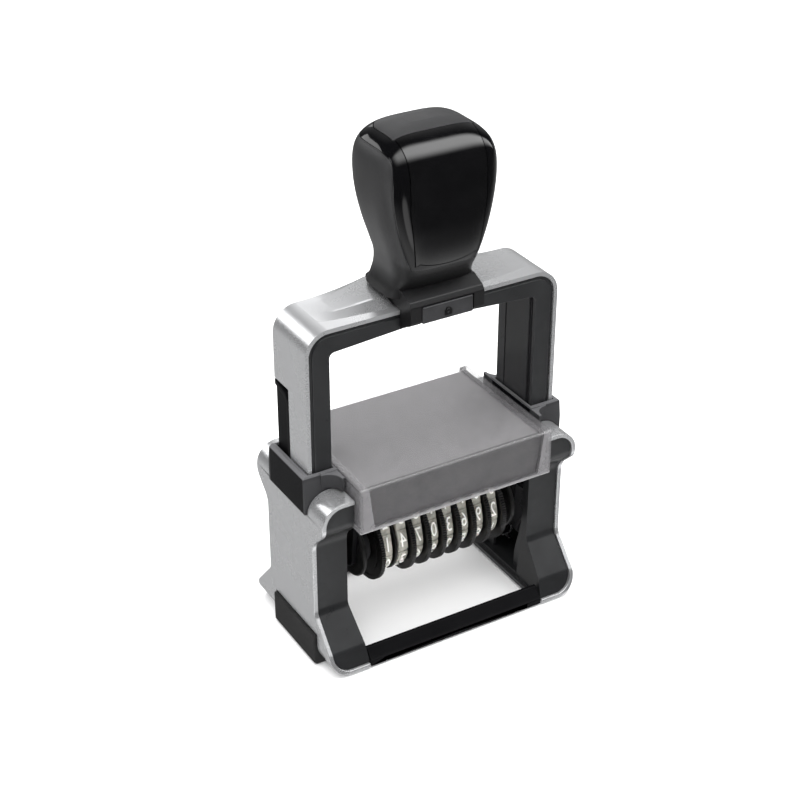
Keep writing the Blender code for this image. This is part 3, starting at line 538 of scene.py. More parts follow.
def smooth(piece, angle=35):
    """Smooth shading across edges shallower than an angle."""
    piece.data.shade_smooth()
    piece.data.set_sharp_from_angle(angle=radians(angle))
    return piece


def show(piece, body, look, *nodes):
    """Give a piece its material and body, and let it stand for CAD nodes."""
    piece.data.materials.clear()
    piece.data.materials.append(LOOKS[look])
    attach(piece, body)
    if nodes:
        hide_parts(*nodes)
    return piece


def mirrored(side, outline):
    return [(side * u, v) for u, v in outline]


def both_halves(half):
    """An outline's one half and its mirror image, in one run."""
    return half + [(-u, v) for u, v in reversed(half)]


def span(side, low, high):
    """A pair of stations on one side, in rising order."""
    return sorted((side * low, side * high))


# ---- lower frame
def corner_arcs(depth):
    """The rounds of the bottom corner and the shoulder, going up, set in from a leg's outer line."""
    x, radius = FRAME_HALF_WIDTH - CORNER_RADIUS, CORNER_RADIUS - depth
    low, top = (x, FRAME_BOTTOM + CORNER_RADIUS), (x, SHOULDER_TOP - CORNER_RADIUS)
    return arc(low, radius, -90, 0) + arc(top, radius, 0, 90)


def skin_band(side):
    """Front view of the silver skin round a lower leg."""
    near, foot = WINDOW_HIGH.x + GAP, LEG_INNER - 1
    outline = [(near, SHOULDER_TOP)] + corner_arcs(0.0)[::-1]
    outline += [(foot, FRAME_BOTTOM), (foot, FRAME_BOTTOM + SKIN)]
    outline += corner_arcs(SKIN) + [(near, SHOULDER_TOP - SKIN)]
    return mirrored(side, outline)


def leg_side_view(inset):
    """Side view (y, z) of a lower leg: lobes at the shoulder, a waist, and a flared foot."""
    lobe, waist, base = LOBE_HALF_DEPTH - inset, WAIST_HALF_DEPTH - inset, BASE_HALF_DEPTH - inset
    half = [(lobe, SHOULDER_TOP + 1, 0.0), (lobe, 42.4, 4.0), (waist, 37.0, 5.0), (waist, 15.2, 3.0),
            (base - 1.6, 6.6, 3.0), (base, 1.6, 0.0), (base, FRAME_BOTTOM - 1, 0.0)]
    return filleted([(-y, z, r) for y, z, r in half] + half[::-1], 10)


def side_cover(side, name):
    cover = prism(name, skin_band(side), "Y", -OUT_Y, OUT_Y)
    keep_inside(cover, prism("profile", leg_side_view(0.0), "X", -OUT_X, OUT_X))
    foot_y = (FOOT_FRONT - GAP, FOOT_BACK + GAP)
    cut(cover, block("collar_notch", span(side, 20, OUT_X), (-9.9, 9.9), (44.4, 60)),
        block("foot_notch", span(side, FOOT_INNER - GAP, OUT_X), foot_y, (-2, FOOT_TOP + GAP)))
    return soften(cover, 0.38)


def leg_core_outline(side, depth):
    """Front view of the black leg, set in from the silver cover's outer line."""
    near, sill, foot = WINDOW_HIGH.x + GAP, WINDOW_LOW.z - GAP, LEG_INNER - 1.0
    outline = corner_arcs(depth) + [(near, SHOULDER_TOP - depth), (near, sill), (LEG_INNER, sill)]
    outline += [(LEG_INNER, 15), (LEG_INNER - 0.8, 5.4), (foot, 2.8), (foot, FRAME_BOTTOM + depth)]
    return mirrored(side, outline)


def base_leg(side, name):
    """The black leg with its channel, two S-shaped webs and a low rail."""
    leg = prism(name, leg_core_outline(side, SKIN + SKIN_GAP), "Y", -OUT_Y, OUT_Y)
    keep_inside(leg, prism("profile", leg_side_view(0.6), "X", -OUT_X, OUT_X))
    fuse(leg, block("rail", span(side, 25.5, LEG_INNER), (-17.0, 17.0), (0.75, 1.9)))
    channel_y = (-CHANNEL_HALF_DEPTH, CHANNEL_HALF_DEPTH)
    cut(leg, block("channel", span(side, 20, OUT_X), channel_y, (CHANNEL_FLOOR, WINDOW_LOW.z - GAP)),
        block("throat", span(side, ARCH_INNER - GAP, OUT_X), channel_y, (30, 70)))
    web = [(-9.5, 2.5), (-5.0, 2.5)]
    web += [(-6.4 + 1.4 * cos(pi * i / 16), 5 + 15 * i / 16) for i in range(17)] + [(-9.5, 24.0)]
    for end in (1, -1):
        fuse(leg, prism("web", mirrored(end, web), "X", *span(side, 28.2, 29.1)))
    return soften(leg, 0.5)


def base_bar(name, end):
    """A bar across the bottom, at the back (1) or at the front (-1)."""
    section = [(21.3, 0.6), (21.3, 2.2), (20.8, 2.6), (18.9, 5.0), (18.0, 5.0), (17.6, 0.6)]
    reach = LEG_INNER - 1.0 - GAP
    bar = prism(name, mirrored(end, section), "X", -reach, reach)
    for x in (-reach + 4.6, reach - 4.6):
        cut(bar, block("notch", (x - 0.2, x + 0.2), span(end, 21.0, 22.0), (0, 2.0)))
    return soften(bar, 0.22)


def side_foot(side, name):
    corner = (FRAME_HALF_WIDTH - CORNER_RADIUS, FRAME_BOTTOM + CORNER_RADIUS)
    outer, over_leg = 38.3, CORNER_RADIUS - SKIN
    outline = [(FOOT_INNER, 0), (outer - 0.8, 0), (outer, 0.8), (outer, FOOT_TOP),
               (corner[0] + over_leg, FOOT_TOP)]
    outline += arc(corner, over_leg, 0, -90) + [(FOOT_INNER, corner[1] - over_leg)]
    return soften(prism(name, mirrored(side, outline), "Y", FOOT_FRONT, FOOT_BACK), 0.3)


def leg_collar(side, name):
    """The collar over a shoulder, with a chamfered rim and concave wings in front and behind."""
    inner, outer, top, depth = WINDOW_HIGH.x + 0.5, FRAME_HALF_WIDTH + 0.5, 55.0, 9.6
    chamfer, wing_x, wing_y, hole_y = 0.7, 33.0, -13.2, ARCH_HALF_DEPTH + GAP
    shoulder = (FRAME_HALF_WIDTH - CORNER_RADIUS, SHOULDER_TOP - CORNER_RADIUS)
    over_leg = CORNER_RADIUS - SKIN
    outline = [(inner, shoulder[1] + over_leg)] + arc(shoulder, over_leg, 90, 0)
    outline += [(outer, shoulder[1]), (outer, top - chamfer), (outer - chamfer, top), (inner, top)]
    collar = prism(name, mirrored(side, outline), "Y", -depth, depth)
    wing = [(inner, -depth + 1), (inner, wing_y)] + arc((wing_x, wing_y), 3.6, 180, 90, 12)
    wing += [(wing_x, -depth + 1)]
    for end in (-1, 1):
        fuse(collar, prism("wing", [(side * x, -end * y) for x, y in wing], "Z", 50.6, top - 0.4))
    hole_x = span(side, ARCH_INNER - GAP, ARCH_HALF_WIDTH + GAP)
    cut(collar, block("hole", hole_x, (-hole_y, hole_y), (40, 60)))
    lean = [(10.5, 49.0), (9.75, 49.0), (8.85, 56.0), (10.5, 56.0)]
    for end in (-1, 1):
        cut(collar, prism("lean", mirrored(end, lean), "X", *span(side, 33.2, OUT_X)))
    return soften(collar, 0.3)


def cam_plate(side, name):
    """The plate in the leg's channel with the two S-shaped ribs that turn the print unit over."""
    plate = block(name, span(side, 34.6, 36.0), (-8.7, 8.7), (6.7, 22.0))
    path = [(3.4 + 3.2 * cos(pi * i / 24), 7.4 + 13.6 * i / 24) for i in range(25)]
    thick = 0.8
    for start in (-8.1, -4.6):
        rib = [(y + start + thick, z) for y, z in path] + [(y + start, z) for y, z in reversed(path)]
        fuse(plate, prism("rib", rib, "X", *span(side, 33.9, 35)))
    return soften(plate, 0.15, 2)


def build_lower_frame():
    for side, word in SIDES:
        for make, name, look, node in (
                (side_cover, "silver_side_", "silver_paint", "side_cover_"),
                (base_leg, "leg_moulding_", "frame_plastic", "base_leg_"),
                (side_foot, "rubber_foot_", "rubber", "side_foot_"),
                (leg_collar, "shoulder_collar_", "collar_plastic", "leg_collar_"),
                (cam_plate, "guide_track_", "track_plastic", "cam_plate_")):
            show(make(side, name + word), "base", look, node + word)
    # The CAD names these two the wrong way round, and the pieces follow it: front_bar is at the back.
    show(base_bar("front_bar", 1), "base", "black_plastic", "base_front_bar")
    show(base_bar("rear_bar", -1), "base", "black_plastic", "base_rear_bar")


# ---- window and ink pad
def window(name):
    """The clear cover: a box open below and at the back."""
    low, high, wall = WINDOW_LOW, WINDOW_HIGH, 1.0
    hollow = block("hollow", (low.x + wall, high.x - wall), (low.y + wall, high.y + 1),
                   (low.z - 1, high.z - wall))
    return soften(cut(node_block(name, "window_cover"), hollow), 0.7, 4)


def folded_card(name):
    """The card behind the window, folded back over the top; its front is a trapezium."""
    low, high = node_box("index_card")
    thick, bend = 0.5, 0.8
    centre = (low.y + bend, high.z - bend)
    path = [(high.y, high.z)] + arc(centre, bend, 90, 180, 6) + [(low.y, low.z)]
    path += [(low.y + thick, low.z)] + arc(centre, bend - thick, 180, 90, 6) + [(high.y, high.z - thick)]
    sheet = prism(name, path, "X", low.x, high.x)
    trapeze = both_halves([(24.0, low.z - 1), (25.6, high.z - 1.2), (30, high.z - 1.2), (30, 60)])
    return smooth(keep_inside(sheet, prism("trapeze", trapeze, "Y", -30, 30)))


def tray(name):
    """The pad housing, with a slot for the cartridge and a mouth over the bands."""
    underside = node_box("ink_cartridge")[0].z
    slot = block("slot", (-22.5, 22.5), (-15, 25), (underside - GAP, 49.5))
    mouth = block("mouth", (-19.4, 21.8), (-9.5, 6.0), (40, 44))
    return soften(cut(node_block(name, "pad_housing"), slot, mouth), 0.3)


def cartridge(name):
    """The sliding tray, with a pocket for the felt and a ribbed lip at the back."""
    low, high = node_box("ink_cartridge")
    pad_low, pad_high = node_box("ink_pad")
    body = block(name, (low.x, high.x), (low.y, 19.0), (low.z, high.z))
    cut(body, block("pocket", (pad_low.x - GAP, pad_high.x + GAP), (pad_low.y - GAP, pad_high.y + GAP),
                    (40, low.z + 2.3)))
    fuse(body, block("lip", (-8, 8), (18, high.y), (44.5, 46)))
    for i in range(5):
        y = high.y - 0.45 - 0.35 * i
        cut(body, block("grip", (-7, 7), (y, y + 0.15), (45.75, 47)))
    return soften(body, 0.2, 2)


def felt(name):
    return soften(node_block(name, "ink_pad"), 0.3)


def build_window():
    show(window("clear_cover"), "base", "clear_smoke", "window_cover")
    show(folded_card("grey_card"), "base", "card", "index_card")
    show(tray("pad_tray"), "base", "tray_plastic", "pad_housing")
    show(cartridge("pad_cartridge"), "cartridge", "tray_plastic", "ink_cartridge")
    show(felt("felt_pad"), "cartridge", "ink_felt", "ink_pad")


# ---- upper frame
def arch_outer(half_width, top, radius):
    """The outer line of the arch from lower right, over the top, to lower left."""
    return both_halves(arc((half_width - radius, top - radius), radius, 0, 90))


def arch_inner(grow):
    """The inner line of the arch, from lower left round to lower right, set out by a distance."""
    half, under, peak = ARCH_INNER + grow, ARCH_UNDERSIDE - 0.3 + grow, ARCH_PEAK + grow
    bend = max(0.3, 1.5 + grow)
    return filleted([(-half, TONGUE_END), (-half, under, bend), (-9, peak), (9, peak),
                     (half, under, bend), (half, TONGUE_END)])


def arch_frame(name):
    """The black arch; a cove behind its front lip and a groove near its back run round the inside."""
    half, top = ARCH_HALF_WIDTH - SKIN - SKIN_GAP, ARCH_TOP - SKIN - SKIN_GAP
    outline = [(half, TONGUE_END)] + arch_outer(half, top, ARCH_RADIUS - SKIN - SKIN_GAP)
    outline += [(-half, TONGUE_END)] + arch_inner(0.0)
    arch = prism(name, outline, "Y", -ARCH_HALF_DEPTH, ARCH_HALF_DEPTH)
    for deep, front, back in ((0.7, -7.2, -5.6), (0.45, 4.5, 4.85)):
        cut(arch, prism("cove", arch_inner(deep) + arch_inner(-2.0)[::-1], "Y", front, back))
    rim, deep = 0.8, 0.45
    border = arch_outer(half + 1, top + 1, ARCH_RADIUS - SKIN + 0.9)
    border += [(-half - 1, 20), (rim - half, 20)]
    border += arch_outer(half - rim, top - rim, ARCH_RADIUS - SKIN - 0.9)[::-1]
    border += [(half - rim, 20), (half + 1, 20)]
    for y in (-ARCH_HALF_DEPTH, ARCH_HALF_DEPTH):
        cut(arch, prism("rebate", border, "Y", y - deep, y + deep))
    for side in (-1, 1):
        cut(arch, block("relief", span(side, 33.4, 40), (-20, 20), (20, UPPER_LEG_END)),
            rod("trunnion_hole", span(side, 25, 45), PIVOT, TRUNNION_RADIUS + GAP),
            prism("spring_bore", circle((side * SPRING_X, SPRING_Y), 2.05, 24), "Z", 20, 71))
    return soften(arch, 0.35)


def saddle(side):
    """The raised silver facets between a corner of the arch and the handle.

    A ridge near the back rises to the handle's rear, a shallow trough lies in front of it, and a
    lower facet falls to the flat front rim.
    """
    far, near, root, stations = 30.0, 9.4, ARCH_TOP - 0.6, 24
    high = node_box("upper_cover")[1].z
    rows = []
    for i in range(stations + 1):
        t = i / stations
        x = far + (near - far) * t
        rise = (high - ARCH_TOP) * t ** 1.25
        ridge_y = 4.0 + 3.9 * t ** 0.8
        crease_y = 0.4 - 2.6 * t ** 0.5
        foot_y = -3.2 - 3.0 * t ** 0.5
        points = [(ARCH_HALF_DEPTH, root), (ARCH_HALF_DEPTH, ARCH_TOP + rise * (0.1 + 0.85 * t)),
                  (ridge_y, ARCH_TOP + rise), (crease_y + 0.5, ARCH_TOP + rise * 0.66),
                  (crease_y - 0.5, ARCH_TOP + rise * 0.72), (foot_y, ARCH_TOP + 0.02), (foot_y, root)]
        rows.append([(side * x, y, z) for y, z in points])
    return from_bmesh("saddle", loft(bmesh.new(), rows))


def skin_line(inset):
    """The silver cover's line, from its right end over the arch to its left end."""
    half = ARCH_HALF_WIDTH - inset
    arch = arch_outer(half, ARCH_TOP - inset, ARCH_RADIUS - inset)
    return [(half, UPPER_LEG_END)] + arch + [(-half, UPPER_LEG_END)]


def arch_cover(name):
    cover = prism(name, skin_line(0.0) + skin_line(SKIN)[::-1], "Y", -ARCH_HALF_DEPTH, ARCH_HALF_DEPTH)
    for side in (-1, 1):
        fuse(cover, saddle(side))
        cut(cover, block("inlay_notch", span(side, 30, 40), (0.9, 12), (40, 74.3)))
    cut(cover, block("handle_gap", (-10.6, 10.6), (-20, 20), (ARCH_TOP + 0.05, 99)))
    return soften(cover, 0.4, crisp=7)


def grip_inlay(side, name):
    outline = filleted([(1.2, UPPER_LEG_END), (8.25, UPPER_LEG_END), (8.25, 74.0), (2.8, 72.4, 1.2),
                        (1.2, 70.6, 1.0)])
    inlay = prism(name, outline, "X", *span(side, ARCH_HALF_WIDTH - SKIN, ARCH_HALF_WIDTH))
    dish = filleted([(2.3, UPPER_LEG_END - 1), (9.0, UPPER_LEG_END - 1), (9.0, 72.6), (3.2, 71.2, 1.0),
                     (2.3, 69.8, 0.8)])
    cut(inlay, prism("dish", dish, "X", *span(side, ARCH_HALF_WIDTH - 0.45, ARCH_HALF_WIDTH + 1)))
    return soften(inlay, 0.2)


def build_upper_frame():
    show(arch_frame("arch_moulding"), "press", "frame_plastic", "upper_frame")
    show(arch_cover("silver_arch"), "press", "silver_paint", "upper_cover")
    for side, word in SIDES:
        show(grip_inlay(side, "grip_strip_" + word), "press", "black_plastic", "leg_inlay_" + word)


# ---- handle
def section_at(t):
    """Height, half width, front and back at a place along the sections, by a smooth curve."""
    last = len(HANDLE_SECTIONS) - 1
    i = min(int(t), last - 1)
    f = t - i
    points = [HANDLE_SECTIONS[max(0, min(last, k))] for k in (i - 1, i, i + 1, i + 2)]
    return [0.5 * (2 * q + (r - p) * f + (2 * p - 5 * q + 4 * r - s) * f ** 2
                   + (3 * q - p - 3 * r + s) * f ** 3) for p, q, r, s in zip(*points)]


def handle_loft(name, inset):
    """The handle's outer form, set in by a wall thickness."""
    stations, sides = 78, 112
    rows = []
    for i in range(stations + 1):
        height, half_width, front, back = section_at((len(HANDLE_SECTIONS) - 1) * i / stations)
        middle, half_depth = (front + back) / 2, (back - front) / 2
        drop = inset * min(1.0, max(0.0, (height - 120.0) / 15.0))
        row = []
        for step in range(sides):
            angle = 2 * pi * (step + 0.5) / sides
            c, s = cos(angle), sin(angle)
            power = FRONT_POWER if s < 0 else BACK_POWER
            x = copysign(abs(c) ** power, c) * (half_width - inset)
            y = copysign(abs(s) ** power, s) * (half_depth - inset) + middle
            row.append((x, y, height - drop))
        rows.append(row)
    return from_bmesh(name, loft(bmesh.new(), rows))


def panel_zone(name, grow):
    """The front shield, seen from the front: a bowed foot and sides that spread upwards."""
    half_low, half_mid, low, bow = 8.5 + grow, 10.3 + grow, 105.6 - grow, 24.4
    left = [(-half_low, low + 0.6), (-half_low - 0.7, low + 6), (-half_mid, 120.0), (-half_mid, 142 + grow)]
    outline = arc((0, low + bow), bow, -72, -108, 12) + both_halves(left)
    return prism(name, outline, "Y", -30, -6.4 + grow)


def cap_zone(name, grow):
    """The crown of the handle, seen from above: straight sides and a rounded back."""
    half, front, turn, deep = 10.8 + grow, -6.2 - grow, 1.6, 5.9 + grow
    ring = [(half, front), (-half, front)]
    ring += [(-half * cos(a) ** 0.8, turn + deep * sin(a)) for a in
             [pi / 2 * i / 20 for i in range(21)]]
    ring += [(-x, y) for x, y in reversed(ring[2:-1])]
    return prism(name, ring, "Z", 130, 150)


def handle_shell(name, zone, width):
    """The part of a thin shell of the handle that lies in a zone."""
    piece = keep_inside(handle_loft(name, 0.0), zone)
    return soften(cut(piece, handle_loft("inside", 1.4)), width, 3, 40, 40)


def grip(name):
    """The matte body with its neck and the base that straddles the arch."""
    body = handle_loft(name, 0.0)
    for zone in (panel_zone("panel_recess", 0.22), cap_zone("cap_recess", 0.22)):
        cut(body, cut(zone, handle_loft("floor", 1.7)))
    profile = filleted([(-8.55, 88.6), (-13.2, 91.0, 0.5), (-13.7, 91.8, 0.5), (-13.7, 95.8, 0.8),
                        (-12.9, 97.0, 0.8), (-9.2, 98.6, 2.0), (5.0, 98.6, 1.0), (8.2, 96.0, 1.0),
                        (8.2, 93.6), (-8.55, 93.6)], 4)
    fuse(body, prism("base", profile, "X", -10.3, 10.3))
    cut(body, block("button_way", (-7.4, 7.4), (-20, -9.0), (85, 95.7)))
    return soften(body, 0.35, 3, 40, 40)


def button(name):
    return soften(node_block(name, "lock_button"), 0.35)


def padlock_sign(name):
    """A generic raised padlock outline on the button's face."""
    low, high = node_box("lock_button")
    x, z = (low.x + high.x) / 2, (low.z + high.z) / 2
    front = (low.y - 0.12, low.y + 0.2)
    shackle = arc((x, z + 0.1), 0.85, 0, 180, 16) + arc((x, z + 0.1), 0.5, 180, 0, 16)
    case = [(x - 1.05, z - 1.3), (x + 1.05, z - 1.3), (x + 1.05, z + 0.15), (x - 1.05, z + 0.15)]
    sign = prism(name, case, "Y", *front)
    cut(sign, prism("keyhole", circle((x, z - 0.55), 0.32, 16), "Y", -30, 0))
    fuse(sign, prism("shackle", shackle, "Y", *front))
    return soften(sign, 0.05, 2)


def build_handle():
    show(grip("handle_grip"), "press", "handle_skin", "handle_body")
    show(handle_shell("front_shield", panel_zone("panel", 0.0), 0.35), "press", "gloss_black",
         "handle_front_panel")
    show(handle_shell("crown_cap", cap_zone("cap", 0.0), 0.3), "press", "cap_plastic", "handle_top_cap")
    show(button("latch_button"), "lock", "grey_plastic", "lock_button")
    show(padlock_sign("padlock_sign"), "lock", "sign_plastic")


# ---- print unit
def band_x(number):
    """The middle of a band along X."""
    return UNIT_X + (number - 4.5) * PITCH


def band_loop(offset):
    """The loop round a wheel's drum and the print bar, set out by an offset, as (y, z)."""
    corner_half_width, drop, bar_round = 2.2, PIVOT.z - AXLE.z, 1.2
    corner_radius, drum = bar_round + offset, DRUM_RADIUS + GAP + offset
    corner_z = FACE_HEIGHT - DIGIT_HEIGHT - BAND_THICKNESS - bar_round
    reach = Vector((corner_half_width, corner_z + drop))
    lean = degrees(atan2(reach.x, reach.y) + acos((drum - corner_radius) / reach.length))
    points = arc((corner_half_width, corner_z), corner_radius, 90, 90 - lean, 10)
    points += arc((0, -drop), drum, 90 - lean, lean - 270, 44)
    points += arc((-corner_half_width, corner_z), corner_radius, 90 + lean, 90, 10)
    return [Vector((y + PIVOT.y, z + PIVOT.z)) for y, z in points]


class Track:
    """Places on a closed loop by the length along it, from the middle of the print face."""

    def __init__(self, loop):
        self.points = [(loop[0] + loop[-1]) / 2, *loop]
        self.points.append(self.points[0])
        self.lengths = [0.0]
        for here, there in zip(self.points, self.points[1:]):
            self.lengths.append(self.lengths[-1] + (there - here).length)
        self.total = self.lengths[-1]

    def at(self, length, out):
        """The point a distance out of the loop at a length along it."""
        length %= self.total
        i = max(k for k in range(len(self.lengths) - 1) if self.lengths[k] <= length)
        here, there = self.points[i], self.points[i + 1]
        run = (there - here).normalized()
        return here + run * (length - self.lengths[i]) + Vector((-run.y, run.x)) * out


def glyph(character):
    """One figure as a solid letter mesh, about 0.7 wide and 1 high."""
    text = bpy.data.curves.new("figure", "FONT")
    text.body = character
    text.align_x, text.align_y = "CENTER", "CENTER"
    text.extrude = 0.5
    text.resolution_u = 3
    holder = linked("figure", text)
    graph = bpy.context.evaluated_depsgraph_get()
    mesh = bpy.data.meshes.new_from_object(holder.evaluated_get(graph))
    bpy.data.objects.remove(holder, do_unlink=True)
    bpy.data.curves.remove(text)
    return mesh


def number_band(name, number):
    """The plain loop of a band."""
    x = band_x(number)
    band = prism(name, band_loop(BAND_THICKNESS), "X", x - BAND_HALF, x + BAND_HALF)
    cut(band, prism("inner", band_loop(0.0), "X", x - 10, x + 10))
    return soften(band, 0.12, 2)


def band_figures(name, number, glyphs):
    """The relief of a band: a low pad at each place, and on all but one a figure, mirrored as type."""
    x = band_x(number)
    track = Track(band_loop(BAND_THICKNESS))
    places = len(FIGURES) + 1
    pitch = track.total / places
    lift, half_long, half_wide, slices = 0.22, pitch / 2 - 0.35, BAND_HALF - 0.12, 8
    wide, high, sunk = 3.7, 5.6, 0.05
    bm = bmesh.new()
    for place in range(places):
        middle = pitch * place
        rows = []
        for i in range(slices + 1):
            along_it = middle - half_long + 2 * half_long * i / slices
            under, over = track.at(along_it, -0.1), track.at(along_it, lift)
            rows.append([(x + sx * half_wide, p.x, p.y) for sx, p in
                         ((-1, under), (1, under), (1, over), (-1, over))])
        loft(bm, rows)
        if place == places - 1:
            continue
        start, first_face = len(bm.verts), len(bm.faces)
        bm.from_mesh(glyphs[(place + number * 3) % len(FIGURES)])
        bm.verts.ensure_lookup_table()
        bm.faces.ensure_lookup_table()
        for face in bm.faces[first_face:]:
            face.material_index = 1
        for v in bm.verts[start:]:
            out = lift - sunk + (v.co.z + 0.5) * (DIGIT_HEIGHT - lift + sunk)
            p = track.at(middle + v.co.y * high, out)
            v.co = (x - v.co.x * wide, p.x, p.y)
    return smooth(from_bmesh(name, bm))


def number_wheel(name, number):
    """A toothed rim disc with its drum."""
    side = 1 if number == 1 else -1
    x = joint_place(f"wheel_{number}_turn").x
    rim = []
    for tooth in range(WHEEL_TEETH):
        for part, depth in ((0.0, 0.34), (0.22, 0.34), (0.42, 0.0), (0.80, 0.0)):
            angle = 2 * pi * (tooth + part) / WHEEL_TEETH
            radius = WHEEL_RADIUS - depth
            rim.append((AXLE.y + radius * cos(angle), AXLE.z + radius * sin(angle)))
    wheel = prism(name, rim, "X", x - WHEEL_DISC / 2, x + WHEEL_DISC / 2)
    reach = WHEEL_DISC / 2 + GAP + 2 * BAND_HALF
    fuse(wheel, rod("drum", sorted((x, x + side * reach)), AXLE, DRUM_RADIUS, 64))
    deep, inner, outer = 0.18, 8.0, 9.5
    for sign in (-1, 1):
        face = x + sign * WHEEL_DISC / 2
        cut(wheel, lathe("groove", [(face - deep, inner), (face + deep, inner), (face + deep, outer),
                                    (face - deep, outer)]))
    cut(wheel, rod("bore", (x - 10, x + 10), AXLE, AXLE_RADIUS + GAP))
    return smooth(wheel, 30)


def ring(name, node, radius, chamfer):
    """A turned ring on the wheel axle, as wide as its CAD node."""
    low, high = node_box(node)
    bore = AXLE_RADIUS + GAP
    profile = [(low.x, bore), (low.x, radius - chamfer), (low.x + chamfer, radius),
               (high.x - chamfer, radius), (high.x, radius - chamfer), (high.x, bore)]
    return smooth(lathe(name, profile))


def side_plate(word):
    low, high = node_box("side_plate_" + word)
    outline = filleted([(-5.0, -14.0, 3.0), (5.0, -14.0, 3.0), (6.2, -1.0, 2.0), (4.6, 5.0, 1.5),
                        (-4.6, 5.0, 1.5), (-6.2, -1.0, 2.0)])
    plate = prism("unit_side_" + word, [(y + PIVOT.y, z + PIVOT.z) for y, z in outline], "X", low.x, high.x)
    through = (low.x - 1, high.x + 1)
    cut(plate, rod("axle_hole", through, AXLE, AXLE_RADIUS + GAP),
        rod("trunnion_hole", through, PIVOT, TRUNNION_RADIUS + GAP))
    return soften(plate, 0.25)


def soft_copy(name, node, width, segments=2):
    """A finer copy of a CAD node: its flat faces merged, its edges rounded."""
    bm = bmesh.new()
    bm.from_mesh(frame["nodes"][node].data)
    bmesh.ops.remove_doubles(bm, verts=bm.verts, dist=1e-6)
    bmesh.ops.dissolve_limit(bm, angle_limit=radians(1), verts=bm.verts, edges=bm.edges)
    bm.transform(Matrix.Scale(1 / MM, 4))
    return soften(from_bmesh(name, bm), width, segments)


def coil_spring(side, word):
    """A compression spring of even pitch, as tall as its CAD node; the press stroke squashes the real one.
    """
    low, high = node_box("return_spring_" + word)
    radius, wire, turns, sides, steps = 1.45, 0.3, 14, 10, 30
    rows = []
    for i in range(turns * steps + 1):
        t = i / (turns * steps)
        angle = 2 * pi * i / steps
        outward = Vector((cos(angle), sin(angle), 0))
        height = low.z + wire + (high.z - low.z - 2 * wire) * t
        centre = Vector((side * SPRING_X, SPRING_Y, height)) + outward * radius
        turned = [2 * pi * k / sides for k in range(sides)]
        rows.append([centre + outward * wire * cos(a) + Vector((0, 0, wire * sin(a))) for a in turned])
    spring = smooth(from_bmesh("coil_" + word, loft(bmesh.new(), rows)))
    show(spring, "base", "steel", "return_spring_" + word)
    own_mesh(spring)


def build_print_unit():
    unit = "print_unit"
    for side, word in SIDES:
        hub, disc, pin = "hub_spacer_" + word, "end_disc_" + word, "trunnion_" + word
        show(side_plate(word), unit, "black_plastic", "side_plate_" + word)
        show(ring("grey_hub_" + word, hub, 5.2, 0.2), unit, "grey_plastic", hub)
        show(ring("black_disc_" + word, disc, 8.4, 0.3), unit, "wheel_plastic", disc)
        show(soft_copy("pivot_pin_" + word, pin, 0.15), unit, "steel", pin)
        coil_spring(side, word)
    show(soft_copy("steel_axle", "wheel_axle", 0.25, 3), unit, "steel", "wheel_axle")
    show(soft_copy("backing_bar", "print_bar", 0.2), unit, "black_plastic", "print_bar")
    show(soft_copy("thin_disc", "band_separator", 0.1), unit, "wheel_plastic", "band_separator")
    glyphs = [glyph(character) for character in FIGURES]
    for number in range(1, 9):
        show(number_band(f"cream_band_{number}", number), unit, "band_rubber",
             f"number_band_{number}")
        figures = band_figures(f"band_figures_{number}", number, glyphs)
        relief = [face.material_index for face in figures.data.polygons]
        show(figures, unit, "band_rubber")
        figures.data.materials.append(LOOKS["figure_rubber"])
        figures.data.polygons.foreach_set("material_index", relief)
        show(number_wheel(f"toothed_wheel_{number}", number), f"wheel_{number}", "wheel_plastic",
             f"number_wheel_{number}")


# ---- floor, light and camera
def build_floor():
    """A pale floor just under the feet."""
    half, height = 900, -0.02
    bm = bmesh.new()
    for x, y in ((-half, -half), (half, -half), (half, half), (-half, half)):
        bm.verts.new((x, y, height))
    bm.faces.new(bm.verts)
    floor = from_bmesh("floor", bm)
    s = Shader("pale_floor")
    s.put(Base_Color=s.mix(s.noise(60.0, 2.0), grey(0.955), grey(0.975)))
    s.put(Roughness=0.9, Specular_IOR_Level=0.1)
    floor.data.materials.append(s.made)
    floor.visible_glossy = False


def softbox(name, place, aim, width, height, power):
    """A rectangular area light aimed at a point, in millimetres and watts."""
    light = bpy.data.lights.new(name, "AREA")
    light.shape = "RECTANGLE"
    light.size, light.size_y = width * MM, height * MM
    light.energy = power
    holder = linked(name, light)
    holder.location = Vector(place) * MM
    holder.rotation_euler = (Vector(aim) - Vector(place)).to_track_quat("-Z", "Y").to_euler()
    return holder


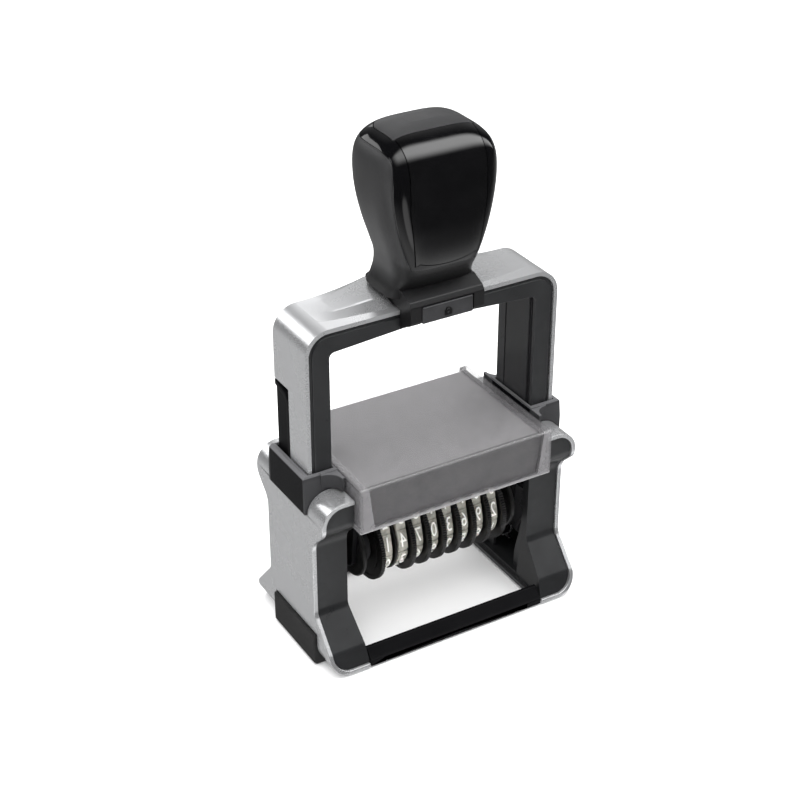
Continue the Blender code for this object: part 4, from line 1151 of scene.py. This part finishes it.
def build_light():
    """White studio: a plain sky lights the stamp, and glossy rays see cards of light in a dark room."""
    world = bpy.data.worlds.new("studio")
    bpy.context.scene.world = world
    s = Shader("studio", world)
    x, y, z = s.wire(s.add("ShaderNodeSeparateXYZ"), Vector=s.coords)
    below = s.times(s.remap(z, -0.3, 0.0, 0.45, 0.03, True), s.remap(y, -0.4, 0.3, smooth=True))
    near_floor = s.times(s.remap(z, -0.78, -0.40, 1.3, 0.05, True), s.remap(y, -0.4, 0.1, 1, 0, True))
    reflected = s.plus(below, near_floor)
    for direction, start, full, strength in (((0.44, 0.74, 0.51), 0.72, 0.97, 0.38),
                                             ((-0.86, -0.05, -0.51), 0.95, 0.985, 2.0),
                                             ((-0.16, -0.85, -0.50), 0.978, 0.994, 1.6)):
        dot = s.add("ShaderNodeVectorMath", operation="DOT_PRODUCT")
        s.feed(dot.inputs[0], s.coords)
        s.feed(dot.inputs[1], direction)
        reflected = s.plus(reflected, s.remap(dot.outputs["Value"], start, full, 0, strength, True))
    tilt = s.math("ARCTAN2", s.times(y, -1.0), z)
    band = s.times(s.remap(tilt, -0.05, 0.16, smooth=True), s.remap(tilt, 0.32, 0.95, 5.5, 0, True))
    reflected = s.plus(reflected, s.times(band, s.remap(x, -0.7, -0.2, smooth=True)))
    rays = s.add("ShaderNodeLightPath")
    sky = s.mix(rays.outputs["Is Glossy Ray"], grey(1.1), reflected)
    s.put(Color=s.mix(rays.outputs["Is Camera Ray"], sky, grey(1.0)))
    softbox("overhead_fill", (0, -60, 620), (0, 0, 60), 800, 800, 6.5).visible_glossy = False
    for name, place, width, height, power in (
            ("left_softbox", (-440, 60, 300), 120, 360, 0.25),
            ("corner_softbox", (-240, 390, 285), 230, 180, 0.42),
            ("rear_softbox", (160, 470, 330), 260, 110, 0.16)):
        softbox(name, place, (0, 0, 70), width, height, power).visible_diffuse = False


def build_camera():
    """A long lens in front, on the left and above; slide and rise place the stamp in the picture."""
    turn, lift = radians(-30.5), radians(30.35)
    distance, slide, rise, aim = 437.8, -5.25, -7.15, Vector((0, 0, 70.3))
    back = Vector((sin(turn) * cos(lift), -cos(turn) * cos(lift), sin(lift)))
    right = Vector((0, 0, 1)).cross(back).normalized()
    up = back.cross(right)
    camera = bpy.data.cameras.new("camera")
    camera.sensor_width, camera.lens = 36.0, 78.9
    camera.clip_start, camera.clip_end = 0.01, 10.0
    holder = linked("camera", camera)
    matrix = Matrix((right, up, back)).transposed().to_4x4()
    matrix.translation = (back * distance + right * slide + up * rise + aim) * MM
    holder.matrix_world = matrix
    bpy.context.scene.camera = holder


build_camera()
build_light()
build_floor()
build_lower_frame()
build_window()
build_upper_frame()
build_handle()
build_print_unit()
bpy.context.scene.view_settings.view_transform = "Standard"
